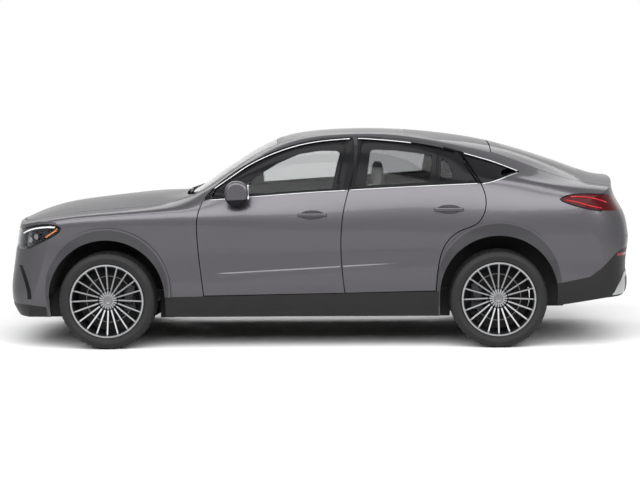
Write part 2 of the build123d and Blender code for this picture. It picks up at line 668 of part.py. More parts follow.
with BuildPart() as lid_arm:
    add(bar_y(LID_HINGE_X, LID_HINGE_Z, LID_PIN + 4, LID_HINGE_Y - LID_ARM, LID_HINGE_Y + LID_ARM))
    add(side_polygon(LID_HINGE_Y - LID_ARM, LID_HINGE_Y + LID_ARM,
                     [(-1344, 1481), (-1328, 1481), (-1328, 1458), (-1290, 1462), (-1290, 1446),
                      (-1344, 1442)]))
    add(bar_y(LID_HINGE_X, LID_HINGE_Z, LID_PIN + RUN_CLEARANCE, LID_HINGE_Y - 20, LID_HINGE_Y + 20),
        mode=Mode.SUBTRACT)
slot_half = LID_ARM + 3
with BuildPart() as lid_slot:
    slot_in = LID_HINGE_Y - slot_half
    slot_out = LID_HINGE_Y + slot_half
    add(block(LID_HINGE_X - 16, -1290 * KX, slot_in, slot_out, 1380 * KZ, LID_HINGE_Z + 6))
    add(block(LID_HINGE_X, -1290 * KX, slot_in, slot_out, LID_HINGE_Z, LID_HINGE_Z + 10.5))
    add(bar_y(LID_HINGE_X, LID_HINGE_Z, LID_PIN + 5.5, slot_in, slot_out))
lid_pin = bar_y(LID_HINGE_X, LID_HINGE_Z, LID_PIN, LID_HINGE_Y - LID_ARM - 8, LID_HINGE_Y + LID_ARM + 8)
with BuildPart() as hood:
    add(hood_zone)
    add(OUTER, mode=Mode.INTERSECT)
    add(skin(30, 30, 2420, 830), mode=Mode.SUBTRACT)
    add(end_cutter(NOSE_PROFILE, NOSE_PLAN, -2600 * KX, -15), mode=Mode.INTERSECT)
    add(pair(hood_lug.part))
save("hood", hood.part)
with BuildPart() as tailgate:
    add(lid_zone)
    add(OUTER, mode=Mode.INTERSECT)
    add(CORE, mode=Mode.SUBTRACT)
    add(lid_glass, mode=Mode.SUBTRACT)
    add(lid_glass_inner, mode=Mode.SUBTRACT)
    add([pair(lid_lamp_build.part), pair(lid_slot.part)], mode=Mode.SUBTRACT)
    add(pair(lid_pin))
save("tailgate", tailgate.part)

# Wheel openings and flares
front_arch = arch_shape(FRONT_AXLE, WHEEL_Z + 21, ARCH_R, 440 * KY, Y_OUT, 0)
rear_arch = arch_shape(REAR_AXLE, WHEEL_Z + 39, ARCH_R, 600 * KY, Y_OUT, 0)
FLARE_R = ARCH_R + 43
front_flare_zone = arch_shape(FRONT_AXLE, WHEEL_Z + 67, FLARE_R, 600 * KY, Y_OUT, 385 * KZ)
rear_flare_zone = arch_shape(REAR_AXLE, WHEEL_Z + 99, FLARE_R, 600 * KY, Y_OUT, 425 * KZ)
SKIN_FLARE = skin(-FLARE_PROUD, -FLARE_PROUD, left=True)

BUMPER_LINE = [(2000, 380), (1990, 600), (1945, 800), (1878, 900), (1878, 1100)]
bumper_zone = side_polygon(-Y_OUT, Y_OUT, BUMPER_LINE + [(2600, 1100), (2600, 100), (2000, 100)])
TAIL_LINE = [(-1770, 100), (-1770, 700), (-1832, 985), (-2600, 985), (-2600, 100)]
rear_bumper_zone = side_polygon(-Y_OUT, Y_OUT, TAIL_LINE)
SILL_LINE = [(1125, 389), (-905, 423)]
sill_zone = side_polygon(400, Y_OUT, SILL_LINE + [(-905, 100), (1125, 100)])
SPLIT_X = 872.0 * KX
SPLIT_Z = 1165.0 * KZ


def flare(zone, arch):
    """Lip standing proud of the skin round a wheel opening."""
    with BuildPart() as lip:
        add(zone)
        add(arch, mode=Mode.SUBTRACT)
        add(SKIN_FLARE, mode=Mode.INTERSECT)
        add(SKIN_PANEL, mode=Mode.SUBTRACT)
    return lip.part


# Fenders: outer wall from the door to the bumper, with the wheel opening
with BuildPart() as fender_left:
    add(block(700 * KX, 2100 * KX, 692 * KY, 1000 * KY, 200, SPLIT_Z))
    add(FRONT_LEFT, mode=Mode.INTERSECT)
    add(SKIN_PANEL, mode=Mode.SUBTRACT)
    add(flare(front_flare_zone, front_arch))
    add([bumper_zone, headlamp_zone, hood_opening, DOOR_OPENING, sill_zone, front_arch,
         bar_y(HOOD_HINGE_X, HOOD_HINGE_Z, HOOD_SWING, 640 * KY, 718 * KY)], mode=Mode.SUBTRACT)
save("fenders", pair(fender_left.part))

# Body sides: windscreen pillar, roof rail and rear quarter, open at the doors
with BuildPart() as side_left:
    add(SIDE_LEFT)
    add([block(SPLIT_X, 3000, -100, 1100, 0, 2000), block(600 * KX, 3000, -100, 1100, 0, SPLIT_Z),
         sill_zone, DOOR_OPENING, roof_zone, lid_opening, rear_bumper_zone, rear_arch, taillamp_zone],
        mode=Mode.SUBTRACT)
    add([SKIN_RING, TAIL_CORE], mode=Mode.SUBTRACT)
    add(flare(rear_flare_zone, rear_arch))
    add([DOOR_OPENING, windshield, screen_inner, quarter_pane, quarter_window, rear_bumper_zone, sill_zone],
        mode=Mode.SUBTRACT)
save("body_sides", pair(side_left.part))

# Sill trims along the bottom between the wheels
with BuildPart() as sill_left:
    add(sill_zone)
    add(part_of(OUTER, -1000, 1200, 500), mode=Mode.INTERSECT)
    add([SKIN_RING, front_arch, rear_arch, DOOR_OPENING], mode=Mode.SUBTRACT)
save("sill_trims", pair(sill_left.part))

# Bumpers with their dark lower trims and the grille
FRONT_SKIRT = [(1900, 100), (1900, 300), (2130, 330), (2420, 330), (2420, 100)]
REAR_SKIRT = [(-1700, 100), (-1700, 474), (-1780, 474), (-2014, 520), (-2107, 587), (-2200, 679),
              (-2255, 716),
              (-2500, 716), (-2500, 100)]
front_skirt_zone = side_polygon(-Y_OUT, Y_OUT, FRONT_SKIRT)
rear_skirt_zone = side_polygon(-Y_OUT, Y_OUT, REAR_SKIRT)
grille_zone = block(2150 * KX, 2500 * KX, -520 * KY, 520 * KY, 470 * KZ, 770 * KZ)
intake_zone = block(2150 * KX, 2500 * KX, -600 * KY, 600 * KY, 340 * KZ, 430 * KZ)
lamp_pair = pair(headlamp_zone)
with BuildPart() as nose_build:
    add(part_of(OUTER, 1850, 2600, -1300))
    add(bumper_zone, mode=Mode.INTERSECT)
    add(NOSE_CORE, mode=Mode.SUBTRACT)
    add([hood_opening, lamp_pair, front_arch, mirror(front_arch, about=Plane.XZ, mode=Mode.PRIVATE)],
        mode=Mode.SUBTRACT)
with BuildPart() as front_bumper:
    add(nose_build.part)
    add([front_skirt_zone, grille_zone, intake_zone], mode=Mode.SUBTRACT)
save("front_bumper", front_bumper.part)
with BuildPart() as front_skirt:
    add(nose_build.part)
    add(front_skirt_zone, mode=Mode.INTERSECT)
save("front_skirt", front_skirt.part)
with BuildPart() as grille:
    add([grille_zone, intake_zone])
    add(end_cutter(NOSE_PROFILE, NOSE_PLAN, -2600 * KX, -22), mode=Mode.INTERSECT)
    add([NOSE_IN, lamp_pair], mode=Mode.SUBTRACT)
save("grille", grille.part)
with BuildPart() as tail_build:
    add(part_of(OUTER, -2600, -1690, -1300))
    add(rear_bumper_zone, mode=Mode.INTERSECT)
    add(TAIL_CORE, mode=Mode.SUBTRACT)
    add([lid_opening, rear_arch, mirror(rear_arch, about=Plane.XZ, mode=Mode.PRIVATE)], mode=Mode.SUBTRACT)
with BuildPart() as rear_bumper:
    add(tail_build.part)
    add(rear_skirt_zone, mode=Mode.SUBTRACT)
save("rear_bumper", rear_bumper.part)
with BuildPart() as rear_skirt:
    add(tail_build.part)
    add(rear_skirt_zone, mode=Mode.INTERSECT)
save("rear_skirt", rear_skirt.part)

# Roof
RING_FULL = pair(SKIN_RING)
with BuildPart() as roof:
    add(roof_zone)
    add(part_of(OUTER, -1400, 400, -700, 700), mode=Mode.INTERSECT)
    add(RING_FULL, mode=Mode.SUBTRACT)
    add([roof_glass, roof_glass_inner], mode=Mode.SUBTRACT)
    add(pair(lid_arm.part))
save("roof_panel", roof.part)

# Unibody: side rings behind the doors, floor, firewall, rails and load floor
FIREWALL_X = 985.0 * KX
HEEL_X = -1080.0 * KX
LOAD_Z = 650.0 * KZ
JACK_X = (780.0, -700.0)
JACK_Y = 660.0 * KY
JACK_LONG = 90.0
JACK_WIDE = 60.0
JACK_DROP = 12.0
with BuildPart() as ring_left:
    add(SKIN_RING)
    add(SKIN_CABIN, mode=Mode.SUBTRACT)
    add([side_prism(Y_IN, Y_OUT, *FRONT_DOOR, grow=-32.0), side_prism(Y_IN, Y_OUT, *REAR_DOOR, grow=-32.0),
         quarter_window, screen_inner, roof_glass_inner, lid_opening, front_arch,
         block(FIREWALL_X + 40, 3000, -100, 1300, 0, 2000), block(-3000, -1640 * KX, -100, 1300, 0, 2000),
         block(650 * KX, 3000, -100, 1300, 1050 * KZ, 2000)], mode=Mode.SUBTRACT)

LINER_GAP = 8.0
LINER_THICK = 6.0
front_cup = arch_shape(FRONT_AXLE, WHEEL_Z + 21, ARCH_R + LINER_GAP + LINER_THICK, 440 * KY, Y_OUT, 0)
rear_cup = arch_shape(REAR_AXLE, WHEEL_Z + 39, ARCH_R + LINER_GAP + LINER_THICK, 600 * KY, Y_OUT, 0)
with BuildPart() as unibody:
    add(pair(ring_left.part))
    add([block(HEEL_X - 40, FIREWALL_X + 40, -715 * KY, 715 * KY, FLOOR_Z, FLOOR_TOP),
         block(FIREWALL_X, FIREWALL_X + 40, -715 * KY, 715 * KY, FLOOR_Z, 1040 * KZ),
         block(880 * KX, FIREWALL_X + 40, -600 * KY, 600 * KY, 1000 * KZ, 1040 * KZ),
         block(HEEL_X - 40, HEEL_X, -715 * KY, 715 * KY, FLOOR_Z, LOAD_Z),
         block(-2200 * KX, HEEL_X, -590 * KY, 590 * KY, LOAD_Z - 40, LOAD_Z),
         block(-2230 * KX, -2190 * KX, -590 * KY, 590 * KY, 430 * KZ, 770 * KZ),
         block(2080 * KX, 2120 * KX, -600 * KY, 600 * KY, 300 * KZ, 800 * KZ)])
    for side in (-1, 1):
        add([block(FIREWALL_X, 2110 * KX, side * 370 * KY, side * 440 * KY, 430 * KZ, 540 * KZ),
             block(-2200 * KX, HEEL_X, side * 450 * KY, side * 520 * KY, 480 * KZ, LOAD_Z - 20)])
    add([rear_cup, mirror(rear_cup, about=Plane.XZ, mode=Mode.PRIVATE)], mode=Mode.SUBTRACT)
    add([pair(hood_post.part), pair(hinge_straps(FRONT_HINGE_X, FRONT_HINGE_Y, FRONT_HINGE_X + 45,
                                                 FRONT_HINGE_Y + 9 - RING_LOW - 2)),
         pair(hinge_straps(REAR_HINGE_X, REAR_HINGE_Y, REAR_HINGE_X + 45,
                           REAR_HINGE_Y + 9 - RING_LOW - 2))])
    for x in JACK_X:
        add(pair(block(x * KX - JACK_LONG / 2, x * KX + JACK_LONG / 2, JACK_Y - JACK_WIDE / 2,
                       JACK_Y + JACK_WIDE / 2,
                       FLOOR_Z - JACK_DROP, FLOOR_Z)))
save("unibody", unibody.part)

# Arch liners, resting on the inner faces of the panels
with BuildPart() as front_liner:
    add(front_cup)
    add(arch_shape(FRONT_AXLE, WHEEL_Z + 21, ARCH_R + LINER_GAP, 440 * KY + LINER_THICK, Y_OUT, 0),
        mode=Mode.SUBTRACT)
    add(block(FRONT_AXLE - 800, FRONT_AXLE + 800, 0, 1200, 0, 398 * KZ), mode=Mode.SUBTRACT)
    add(SKIN_PANEL, mode=Mode.INTERSECT)
with BuildPart() as rear_liner:
    add(rear_cup)
    add(arch_shape(REAR_AXLE, WHEEL_Z + 39, ARCH_R + LINER_GAP, 600 * KY + LINER_THICK, Y_OUT, 0),
        mode=Mode.SUBTRACT)
    add(block(REAR_AXLE - 800, REAR_AXLE + 800, 0, 1200, 0, 428 * KZ), mode=Mode.SUBTRACT)
    add(SKIN_RING, mode=Mode.INTERSECT)
with BuildPart() as liners:
    add([pair(front_liner.part), pair(rear_liner.part)])
save("arch_liners", liners.part)

# Wheels, turned about the Y axis at the origin with the outer face to +Y
HALF_W = TYRE_WIDTH / 2
TYRE_R = TYRE_DIAMETER / 2
RIM_R = RIM_DIAMETER / 2
HUB_FACE = 18.0
with BuildPart() as rim:
    with BuildSketch(Plane.XY):
        with BuildLine():
            Polyline((RIM_R - 18, -HALF_W + 14), (RIM_R, -HALF_W + 14), (RIM_R, -HALF_W + 6),
                     (RIM_R - 26, -HALF_W + 6),
                     (RIM_R - 34, HALF_W - 70), (RIM_R - 30, HALF_W - 24), (RIM_R - 20, HALF_W - 4),
                     (RIM_R, HALF_W - 4),
                     (RIM_R, HALF_W - 14), (RIM_R - 18, HALF_W - 14), close=True)
        make_face()
    revolve(axis=Axis.Y)
    with BuildSketch(Plane.XY):
        with BuildLine():
            Polyline((HUB_BORE, HUB_FACE - 30), (82, HUB_FACE - 30), (82, HUB_FACE + 22),
                     (66, HUB_FACE + 40),
                     (HUB_BORE, HUB_FACE + 40), close=True)
        make_face()
    revolve(axis=Axis.Y)
with BuildPart() as tyre:
    with BuildSketch(Plane.XY):
        with BuildLine():
            Polyline((RIM_R - 18, -HALF_W + 14), (RIM_R - 4, -HALF_W + 14), (RIM_R + 4, -HALF_W + 8))
            Spline((RIM_R + 4, -HALF_W + 8), ((RIM_R + TYRE_R) / 2, -HALF_W), (TYRE_R - 22, -HALF_W + 10),
                   (TYRE_R - 4, -HALF_W + 34))
            Polyline((TYRE_R - 4, -HALF_W + 34), (TYRE_R, -HALF_W + 60), (TYRE_R, HALF_W - 60),
                     (TYRE_R - 4, HALF_W - 34))
            Spline((TYRE_R - 4, HALF_W - 34), (TYRE_R - 22, HALF_W - 10), ((RIM_R + TYRE_R) / 2, HALF_W),
                   (RIM_R + 4, HALF_W - 8))
            Polyline((RIM_R + 4, HALF_W - 8), (RIM_R - 4, HALF_W - 14), (RIM_R - 18, HALF_W - 14),
                     (RIM_R - 18, -HALF_W + 14))
        make_face()
    revolve(axis=Axis.Y)
    add(rim.part, mode=Mode.SUBTRACT)
with BuildPart() as spoke:
    with BuildSketch(Plane.XY):
        with BuildLine():
            Polyline((76, HUB_FACE + 2), (76, HUB_FACE + 34), (RIM_R - 22, HALF_W - 10),
                     (RIM_R - 22, HALF_W - 42), close=True)
        make_face()
    extrude(amount=6, both=True)
with BuildPart() as rim_whole:
    add(rim.part)
    for i in range(SPOKE_COUNT):
        add(spoke.part.rotate(Axis.Y, i * 360 / SPOKE_COUNT))
    with BuildSketch(Plane.XZ.offset(-HUB_FACE - 60)):
        with PolarLocations(BOLT_CIRCLE / 2, BOLT_COUNT):
            Circle(7.5)
    extrude(amount=200, both=True, mode=Mode.SUBTRACT)
DISC_R = DISC_DIAMETER / 2
with BuildPart() as disc:
    with BuildSketch(Plane.XY):
        with BuildLine():
            Polyline((70, HUB_FACE - 76), (DISC_R, HUB_FACE - 76), (DISC_R, HUB_FACE - 46),
                     (84, HUB_FACE - 46),
                     (84, HUB_FACE - 30), (HUB_BORE, HUB_FACE - 30), (HUB_BORE, HUB_FACE - 38),
                     (70, HUB_FACE - 38),
                     close=True)
        make_face()
    revolve(axis=Axis.Y)
WHEELS = {"front_left": (FRONT_AXLE, 1), "front_right": (FRONT_AXLE, -1), "rear_left": (REAR_AXLE, 1),
          "rear_right": (REAR_AXLE, -1)}
for place, (axle, side) in WHEELS.items():
    for name, whole in (("tyre", tyre.part), ("rim", rim_whole.part), ("brake_disc", disc.part)):
        with BuildPart() as placed:
            with Locations((axle, side * WHEEL_Y, WHEEL_Z)):
                add(whole if side > 0 else mirror(whole, about=Plane.XZ, mode=Mode.PRIVATE))
        save(f"{name}_{place}", placed.part)

# Knuckles and axles
KING_Y = WHEEL_Y - 96.0
DISC_Y = WHEEL_Y + HUB_FACE - 61.0
CALIPER_R = DISC_R - 20


def carrier(axle, side, behind):
    """Hub carrier with its brake caliper round the disc."""
    with BuildPart() as build:
        add(bar_y(axle, WHEEL_Z, 58, KING_Y - 50, DISC_Y - 23))
        add(block(axle - 34, axle + 34, KING_Y - 26, KING_Y + 26, WHEEL_Z - 130, WHEEL_Z + 130))
        x = axle + behind * CALIPER_R
        add(block(x - 40, x + 40, KING_Y - 10, DISC_Y + 44, WHEEL_Z - 85, WHEEL_Z + 85))
        add(block(axle, x, KING_Y - 10, KING_Y + 18, WHEEL_Z - 40, WHEEL_Z + 40))
        add(bar_y(axle, WHEEL_Z, DISC_R + 6, DISC_Y - 21, DISC_Y + 21), mode=Mode.SUBTRACT)
        add(bar_y(axle, WHEEL_Z, 92, DISC_Y, DISC_Y + 60), mode=Mode.SUBTRACT)
        add(bar_y(axle, WHEEL_Z, HUB_BORE - RUN_CLEARANCE, KING_Y, WHEEL_Y + HUB_FACE + 30))
    return build.part if side > 0 else mirror(build.part, about=Plane.XZ)


for place, side in (("left", 1), ("right", -1)):
    with BuildPart() as knuckle:
        add(carrier(FRONT_AXLE, side, -1))
        for z in (WHEEL_Z - 130, WHEEL_Z + 106):
            with Locations((FRONT_AXLE, side * KING_Y, z + 12)):
                Cylinder(36, 24)
        with Locations((FRONT_AXLE, side * KING_Y, WHEEL_Z - 145)):
            Cylinder(BALL_PIN_RADIUS, 50)
    save(f"knuckle_{place}", knuckle.part)
SUB_Z = FLOOR_Z - 25
with BuildPart() as front_subframe:
    add(block(FRONT_AXLE - 150, FRONT_AXLE + 150, -400 * KY, 400 * KY, SUB_Z, 300 * KZ))
    for side in (-1, 1):
        add(block(FRONT_AXLE - 50, FRONT_AXLE + 50, side * 370 * KY, side * 425 * KY, SUB_Z, 430 * KZ))
        add(tube_between((FRONT_AXLE - 110, side * 380 * KY, SUB_Z + 24),
                         (FRONT_AXLE, side * KING_Y, WHEEL_Z - 156), 17))
        add(tube_between((FRONT_AXLE + 110, side * 380 * KY, SUB_Z + 24),
                         (FRONT_AXLE, side * KING_Y, WHEEL_Z - 156), 17))
        with Locations((FRONT_AXLE, side * KING_Y, WHEEL_Z - 154)):
            Cylinder(30, 34)
            Cylinder(BALL_PIN_RADIUS + RUN_CLEARANCE, 60, mode=Mode.SUBTRACT)
save("front_subframe", front_subframe.part)
with BuildPart() as rear_axle:
    add([carrier(REAR_AXLE, 1, 1), carrier(REAR_AXLE, -1, 1)])
    add(block(REAR_AXLE - 120, REAR_AXLE + 120, -400 * KY, 400 * KY, SUB_Z, 330 * KZ))
    for side in (-1, 1):
        add(block(REAR_AXLE - 40, REAR_AXLE + 40, side * 450 * KY, side * 520 * KY, 300 * KZ, 480 * KZ))
        add(block(REAR_AXLE - 40, REAR_AXLE + 40, side * 380 * KY, side * 520 * KY, SUB_Z + 20, 330 * KZ))
        add(tube_between((REAR_AXLE, side * 200 * KY, WHEEL_Z),
                         (REAR_AXLE, side * (KING_Y - 40), WHEEL_Z), 20))
        add(tube_between((REAR_AXLE - 90, side * 380 * KY, SUB_Z + 30),
                         (REAR_AXLE - 20, side * KING_Y, WHEEL_Z - 110), 18))
        add(tube_between((REAR_AXLE + 90, side * 380 * KY, SUB_Z + 30),
                         (REAR_AXLE + 20, side * KING_Y, WHEEL_Z - 110), 18))
    add(block(REAR_AXLE - 110, REAR_AXLE + 110, -200 * KY, 200 * KY, SUB_Z, WHEEL_Z + 80))
save("rear_axle", rear_axle.part)

# Engine, exhaust
with BuildPart() as engine:
    add(block(1230 * KX, 1830 * KX, -290 * KY, 290 * KY, 300 * KZ, 760 * KZ))
    add(block(1260 * KX, 1800 * KX, -230 * KY, 230 * KY, 760 * KZ, 900 * KZ))
save("engine", engine.part)
PIPE_Z = FLOOR_Z - 34
REAR_PIPE_Z = 520.0 * KZ
with BuildPart() as exhaust:
    add(tube_between((1200 * KX, -300 * KY, PIPE_Z), (-1172 * KX, -300 * KY, PIPE_Z), 28))
    add(block(-60, 60, -315 * KY, -285 * KY, PIPE_Z, FLOOR_Z))
    add(tube_between((-1172 * KX, -300 * KY, PIPE_Z - 20), (-1172 * KX, -300 * KY, REAR_PIPE_Z + 20), 28))
    add(tube_between((-1172 * KX, -300 * KY, REAR_PIPE_Z), (-1960 * KX, -300 * KY, REAR_PIPE_Z), 28))
    add(block(-2130 * KX, -1880 * KX, -430 * KY, 430 * KY, 395 * KZ, 550 * KZ))
    add(block(-2030 * KX, -1980 * KX, -20, 20, 540 * KZ, LOAD_Z - 40))
save("exhaust", exhaust.part)

# Cabin
CABIN_FULL = pair(SKIN_CABIN)
WHEEL_TILT = 24.0
STEER_BOSS = 33.0
STEER_X = 430.0 * KX
STEER_Y = 370.0 * KY
STEER_Z = 925.0 * KZ
lean = Vector(math.cos(math.radians(WHEEL_TILT)), 0, -math.sin(math.radians(WHEEL_TILT)))
hub_centre = Vector(STEER_X, STEER_Y, STEER_Z)
with BuildPart() as dashboard:
    add(side_polygon(-720 * KY, 720 * KY, [(985, 620), (985, 1000), (860, 1030), (690, 1020), (590, 940),
                                           (600, 760), (700, 620)]))
    add(CABIN_FULL, mode=Mode.INTERSECT)
    add(block(-480 * KX, 760 * KX, -130 * KY, 130 * KY, FLOOR_TOP, 640 * KZ))
    add(tube_between(tuple(hub_centre + lean * (STEER_BOSS + RUN_CLEARANCE)),
                     tuple(hub_centre + lean * 330), 32))
    add(side_polygon(-735 * KY, 735 * KY, [(985, 990), (985, 1200), (1100, 1200), (1100, 200),
                                           (985, 200)]), mode=Mode.SUBTRACT)
    add(block(880 * KX, 1100 * KX, -640 * KY, 640 * KY, 1000 * KZ, 1100 * KZ), mode=Mode.SUBTRACT)
save("dashboard", dashboard.part)
with BuildPart() as steering_wheel:
    with BuildSketch(Plane(origin=hub_centre, x_dir=(0, 1, 0), z_dir=lean)) as ring_plane:
        Circle(188)
        Circle(160, mode=Mode.SUBTRACT)
    extrude(amount=14, both=True)
    with BuildSketch(Plane(origin=hub_centre, x_dir=(0, 1, 0), z_dir=lean)):
        Circle(62)
        Rectangle(340, 34)
        with Locations((0, -85)):
            Rectangle(44, 160)
    extrude(amount=12, both=True)
    with BuildSketch(Plane(origin=hub_centre, x_dir=(0, 1, 0), z_dir=lean)):
        Circle(24)
    extrude(amount=STEER_BOSS)
save("steering_wheel", steering_wheel.part)
with BuildPart() as seat:
    add(side_polygon(150 * KY, 630 * KY, [(270, 470), (270, 560), (220, 590), (-190, 550), (-250, 600),
                                          (-420, 1150), (-510, 1140),
                                     (-400, 620), (-330, 450), (-100, 430)]))
    add(side_polygon(250 * KY, 490 * KY, [(-405, 1170), (-430, 1330), (-500, 1330), (-500, 1170)]))
    add(side_polygon(300 * KY, 330 * KY, [(-440, 1130), (-440, 1180), (-470, 1180), (-470, 1130)]))
    add(side_polygon(410 * KY, 440 * KY, [(-440, 1130), (-440, 1180), (-470, 1180), (-470, 1130)]))
    add(block(-220 * KX, 180 * KX, 180 * KY, 230 * KY, FLOOR_TOP, 500 * KZ))
    add(block(-220 * KX, 180 * KX, 510 * KY, 560 * KY, FLOOR_TOP, 500 * KZ))
save("front_seats", pair(seat.part))
with BuildPart() as rear_seat:
    add(side_polygon(-590 * KY, 590 * KY, [(-560, 300), (-560, 590), (-600, 615), (-1030, 590),
                                           (-1060, 650), (-1200, 1130), (-1290, 1120),
                                          (-1180, 650), (-1080, 650), (-1080, 285), (-600, 285)]))
    for y in (-380, 0, 380):
        add(side_polygon((y - 110) * KY, (y + 110) * KY,
                         [(-1190, 1110), (-1225, 1240), (-1290, 1240), (-1285, 1110)]))
save("rear_seat", rear_seat.part)

# Mirrors on the front doors, wipers on the cowl
MIRROR = [(655, 1175), (575, 1247), (492, 1215), (480, 1130), (540, 1066), (625, 1075)]
with BuildPart() as mirror_left:
    for y, size in ((925, 0.94), (985, 1.0), (1025, 0.90), (1038, 0.74)):
        with BuildSketch(Plane.XZ.offset(-y * KY)):
            with BuildLine():
                Spline(*drawn([(565 + (x - 565) * size, 1150 + (z - 1150) * size) for x, z in MIRROR]),
                       periodic=True)
            make_face()
    loft()
    add(block(560 * KX, 640 * KX, 780 * KY, 935 * KY, 1092 * KZ, 1128 * KZ))
    add(part_of(OUTER, 300, 890, 300), mode=Mode.SUBTRACT)
save("mirror_left", mirror_left.part)
save("mirror_right", mirror(mirror_left.part, about=Plane.XZ))
WIPER_TIP_X = 945.0
WIPER_ROOT_X = 980.0
WIPER_Z = 1142.0 * KZ
with BuildPart() as wipers:
    for y0, y1 in ((-545, -30), (30, 545)):
        x0 = WIPER_TIP_X if abs(y0) > 400 else WIPER_ROOT_X
        x1 = WIPER_TIP_X if abs(y1) > 400 else WIPER_ROOT_X
        mid = (y0 + y1) / 2
        add(tube_between((x0 * KX, y0 * KY, WIPER_Z), (x1 * KX, y1 * KY, WIPER_Z), 7))
        add(block(962 * KX, 974 * KX, (mid - 8) * KY, (mid + 8) * KY, 1050 * KZ, WIPER_Z))
save("wipers", wipers.part)
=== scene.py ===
import logging
import math
from dataclasses import dataclass
from enum import Enum
from typing import Any, Callable, Sequence

import bmesh
import bpy
import numpy as np
from mathutils import Matrix, Vector
from mathutils.bvhtree import BVHTree


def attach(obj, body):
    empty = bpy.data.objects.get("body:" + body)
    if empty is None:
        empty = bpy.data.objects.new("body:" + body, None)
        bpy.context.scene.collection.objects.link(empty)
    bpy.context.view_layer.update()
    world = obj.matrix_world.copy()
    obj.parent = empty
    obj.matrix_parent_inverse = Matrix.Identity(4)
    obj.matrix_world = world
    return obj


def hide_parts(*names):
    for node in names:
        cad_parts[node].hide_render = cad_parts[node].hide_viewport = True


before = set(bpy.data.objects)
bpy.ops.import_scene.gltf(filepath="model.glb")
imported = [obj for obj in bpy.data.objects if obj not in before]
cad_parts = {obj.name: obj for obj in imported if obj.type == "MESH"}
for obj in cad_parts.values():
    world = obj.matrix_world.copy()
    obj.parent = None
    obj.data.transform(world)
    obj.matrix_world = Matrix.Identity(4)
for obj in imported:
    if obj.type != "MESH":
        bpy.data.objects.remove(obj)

LOG = logging.getLogger("suv")
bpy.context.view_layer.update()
NODES: dict[str, bpy.types.Object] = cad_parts
WHEEL_PLACES = ("front_left", "front_right", "rear_left", "rear_right")
SIDES = (("left", 1), ("right", -1))
FRONT_AXLE, REAR_AXLE, HUB_HEIGHT = 1.543, -1.345, 0.361
DUST_TONE = (0.16, 0.15, 0.14, 1.0)
DUST_ROUGHNESS = 0.3
BUMP_DEPTH = 0.0004
LINE_SOFT = 0.0008
FLOAT, VECTOR, COLOUR = "NodeSocketFloat", "NodeSocketVector", "NodeSocketColor"
Point = tuple[float, float, float]
Flat = tuple[float, float]
Line = Sequence[Flat]
Spots = list[Vector | None]
Piece = bpy.types.Object
Node = bpy.types.Node
Socket = bpy.types.NodeSocket


class Slot(Enum):
    """Material slot names passed with each added piece."""

    PAINT = "paint"
    DARK_TRIM = "dark_trim"
    LAMP_CLEAR = "lamp_clear"
    LAMP_RED = "lamp_red"
    TYRE = "tyre"
    WHEEL_SILVER = "wheel_silver"
    DISC_STEEL = "disc_steel"
    CAST_METAL = "cast_metal"
    CABIN_PLASTIC = "cabin_plastic"
    SEAT_LEATHER = "seat_leather"


class Graph:
    """Short way to place and join the nodes of one tree."""

    def __init__(self, tree: bpy.types.NodeTree) -> None:
        """Keep the tree."""
        self.tree = tree

    def node(self, kind: str, settings: dict[str, Any] | None = None, **inputs: Any) -> Node:
        """Add a node.

        Args:
            kind: the node's type.
            settings: the node's own properties.
            inputs: values by socket name, with _ for a space, or by number as i0; a socket is joined.

        Returns:
            The new node.
        """
        made = self.tree.nodes.new(kind)
        for key, value in (settings or {}).items():
            setattr(made, key, value)
        for key, value in inputs.items():
            numbered = key[0] == "i" and key[1:].isdigit()
            socket = made.inputs[int(key[1:]) if numbered else key.replace("_", " ")]
            if isinstance(value, Socket):
                self.tree.links.new(value, socket)
            else:
                socket.default_value = value
        return made

    def join(self, out: Socket, into: Socket) -> None:
        """Join two sockets."""
        self.tree.links.new(out, into)

    def math(self, operation: str, a: Any, b: Any = 0.0) -> Socket:
        """Arithmetic on one or two values, as an output socket."""
        return self.node("ShaderNodeMath", {"operation": operation}, i0=a, i1=b).outputs[0]

    def mix(self, mask: Any, a: Any, b: Any) -> Socket:
        """Colour between a and b by a mask, as an output socket."""
        return self.node("ShaderNodeMix", {"data_type": "RGBA"}, i0=mask, i6=a, i7=b).outputs[2]

    def steps(self, value: Any, low: Any, high: float, to_low: float = 0.0, to_high: float = 1.0) -> Socket:
        """Clamped ramp of a value, as an output socket."""
        ends = {"i1": low, "i2": high, "i3": to_low, "i4": to_high}
        return self.node("ShaderNodeMapRange", {"clamp": True}, i0=value, **ends).outputs[0]

    def split(self, vector: Socket) -> Any:
        """X, Y and Z of a vector, as output sockets by name."""
        return self.node("ShaderNodeSeparateXYZ", Vector=vector).outputs

    def group(self, tree: bpy.types.NodeTree, **inputs: Any) -> Any:
        """Output sockets of a node group, by name."""
        return self.node("ShaderNodeGroup", {"node_tree": tree}, **inputs).outputs

    def reach(self, place: Socket, x: float, z: float) -> tuple[Socket, Socket, Socket]:
        """Distance from an axis across the vehicle: along x, along z and straight."""
        spot = self.split(place)
        ahead, above = self.math("SUBTRACT", spot["X"], x), self.math("SUBTRACT", spot["Z"], z)
        flat = self.node("ShaderNodeCombineXYZ", X=ahead, Y=above).outputs[0]
        length = self.node("ShaderNodeVectorMath", {"operation": "LENGTH"}, i0=flat)
        return ahead, above, length.outputs["Value"]


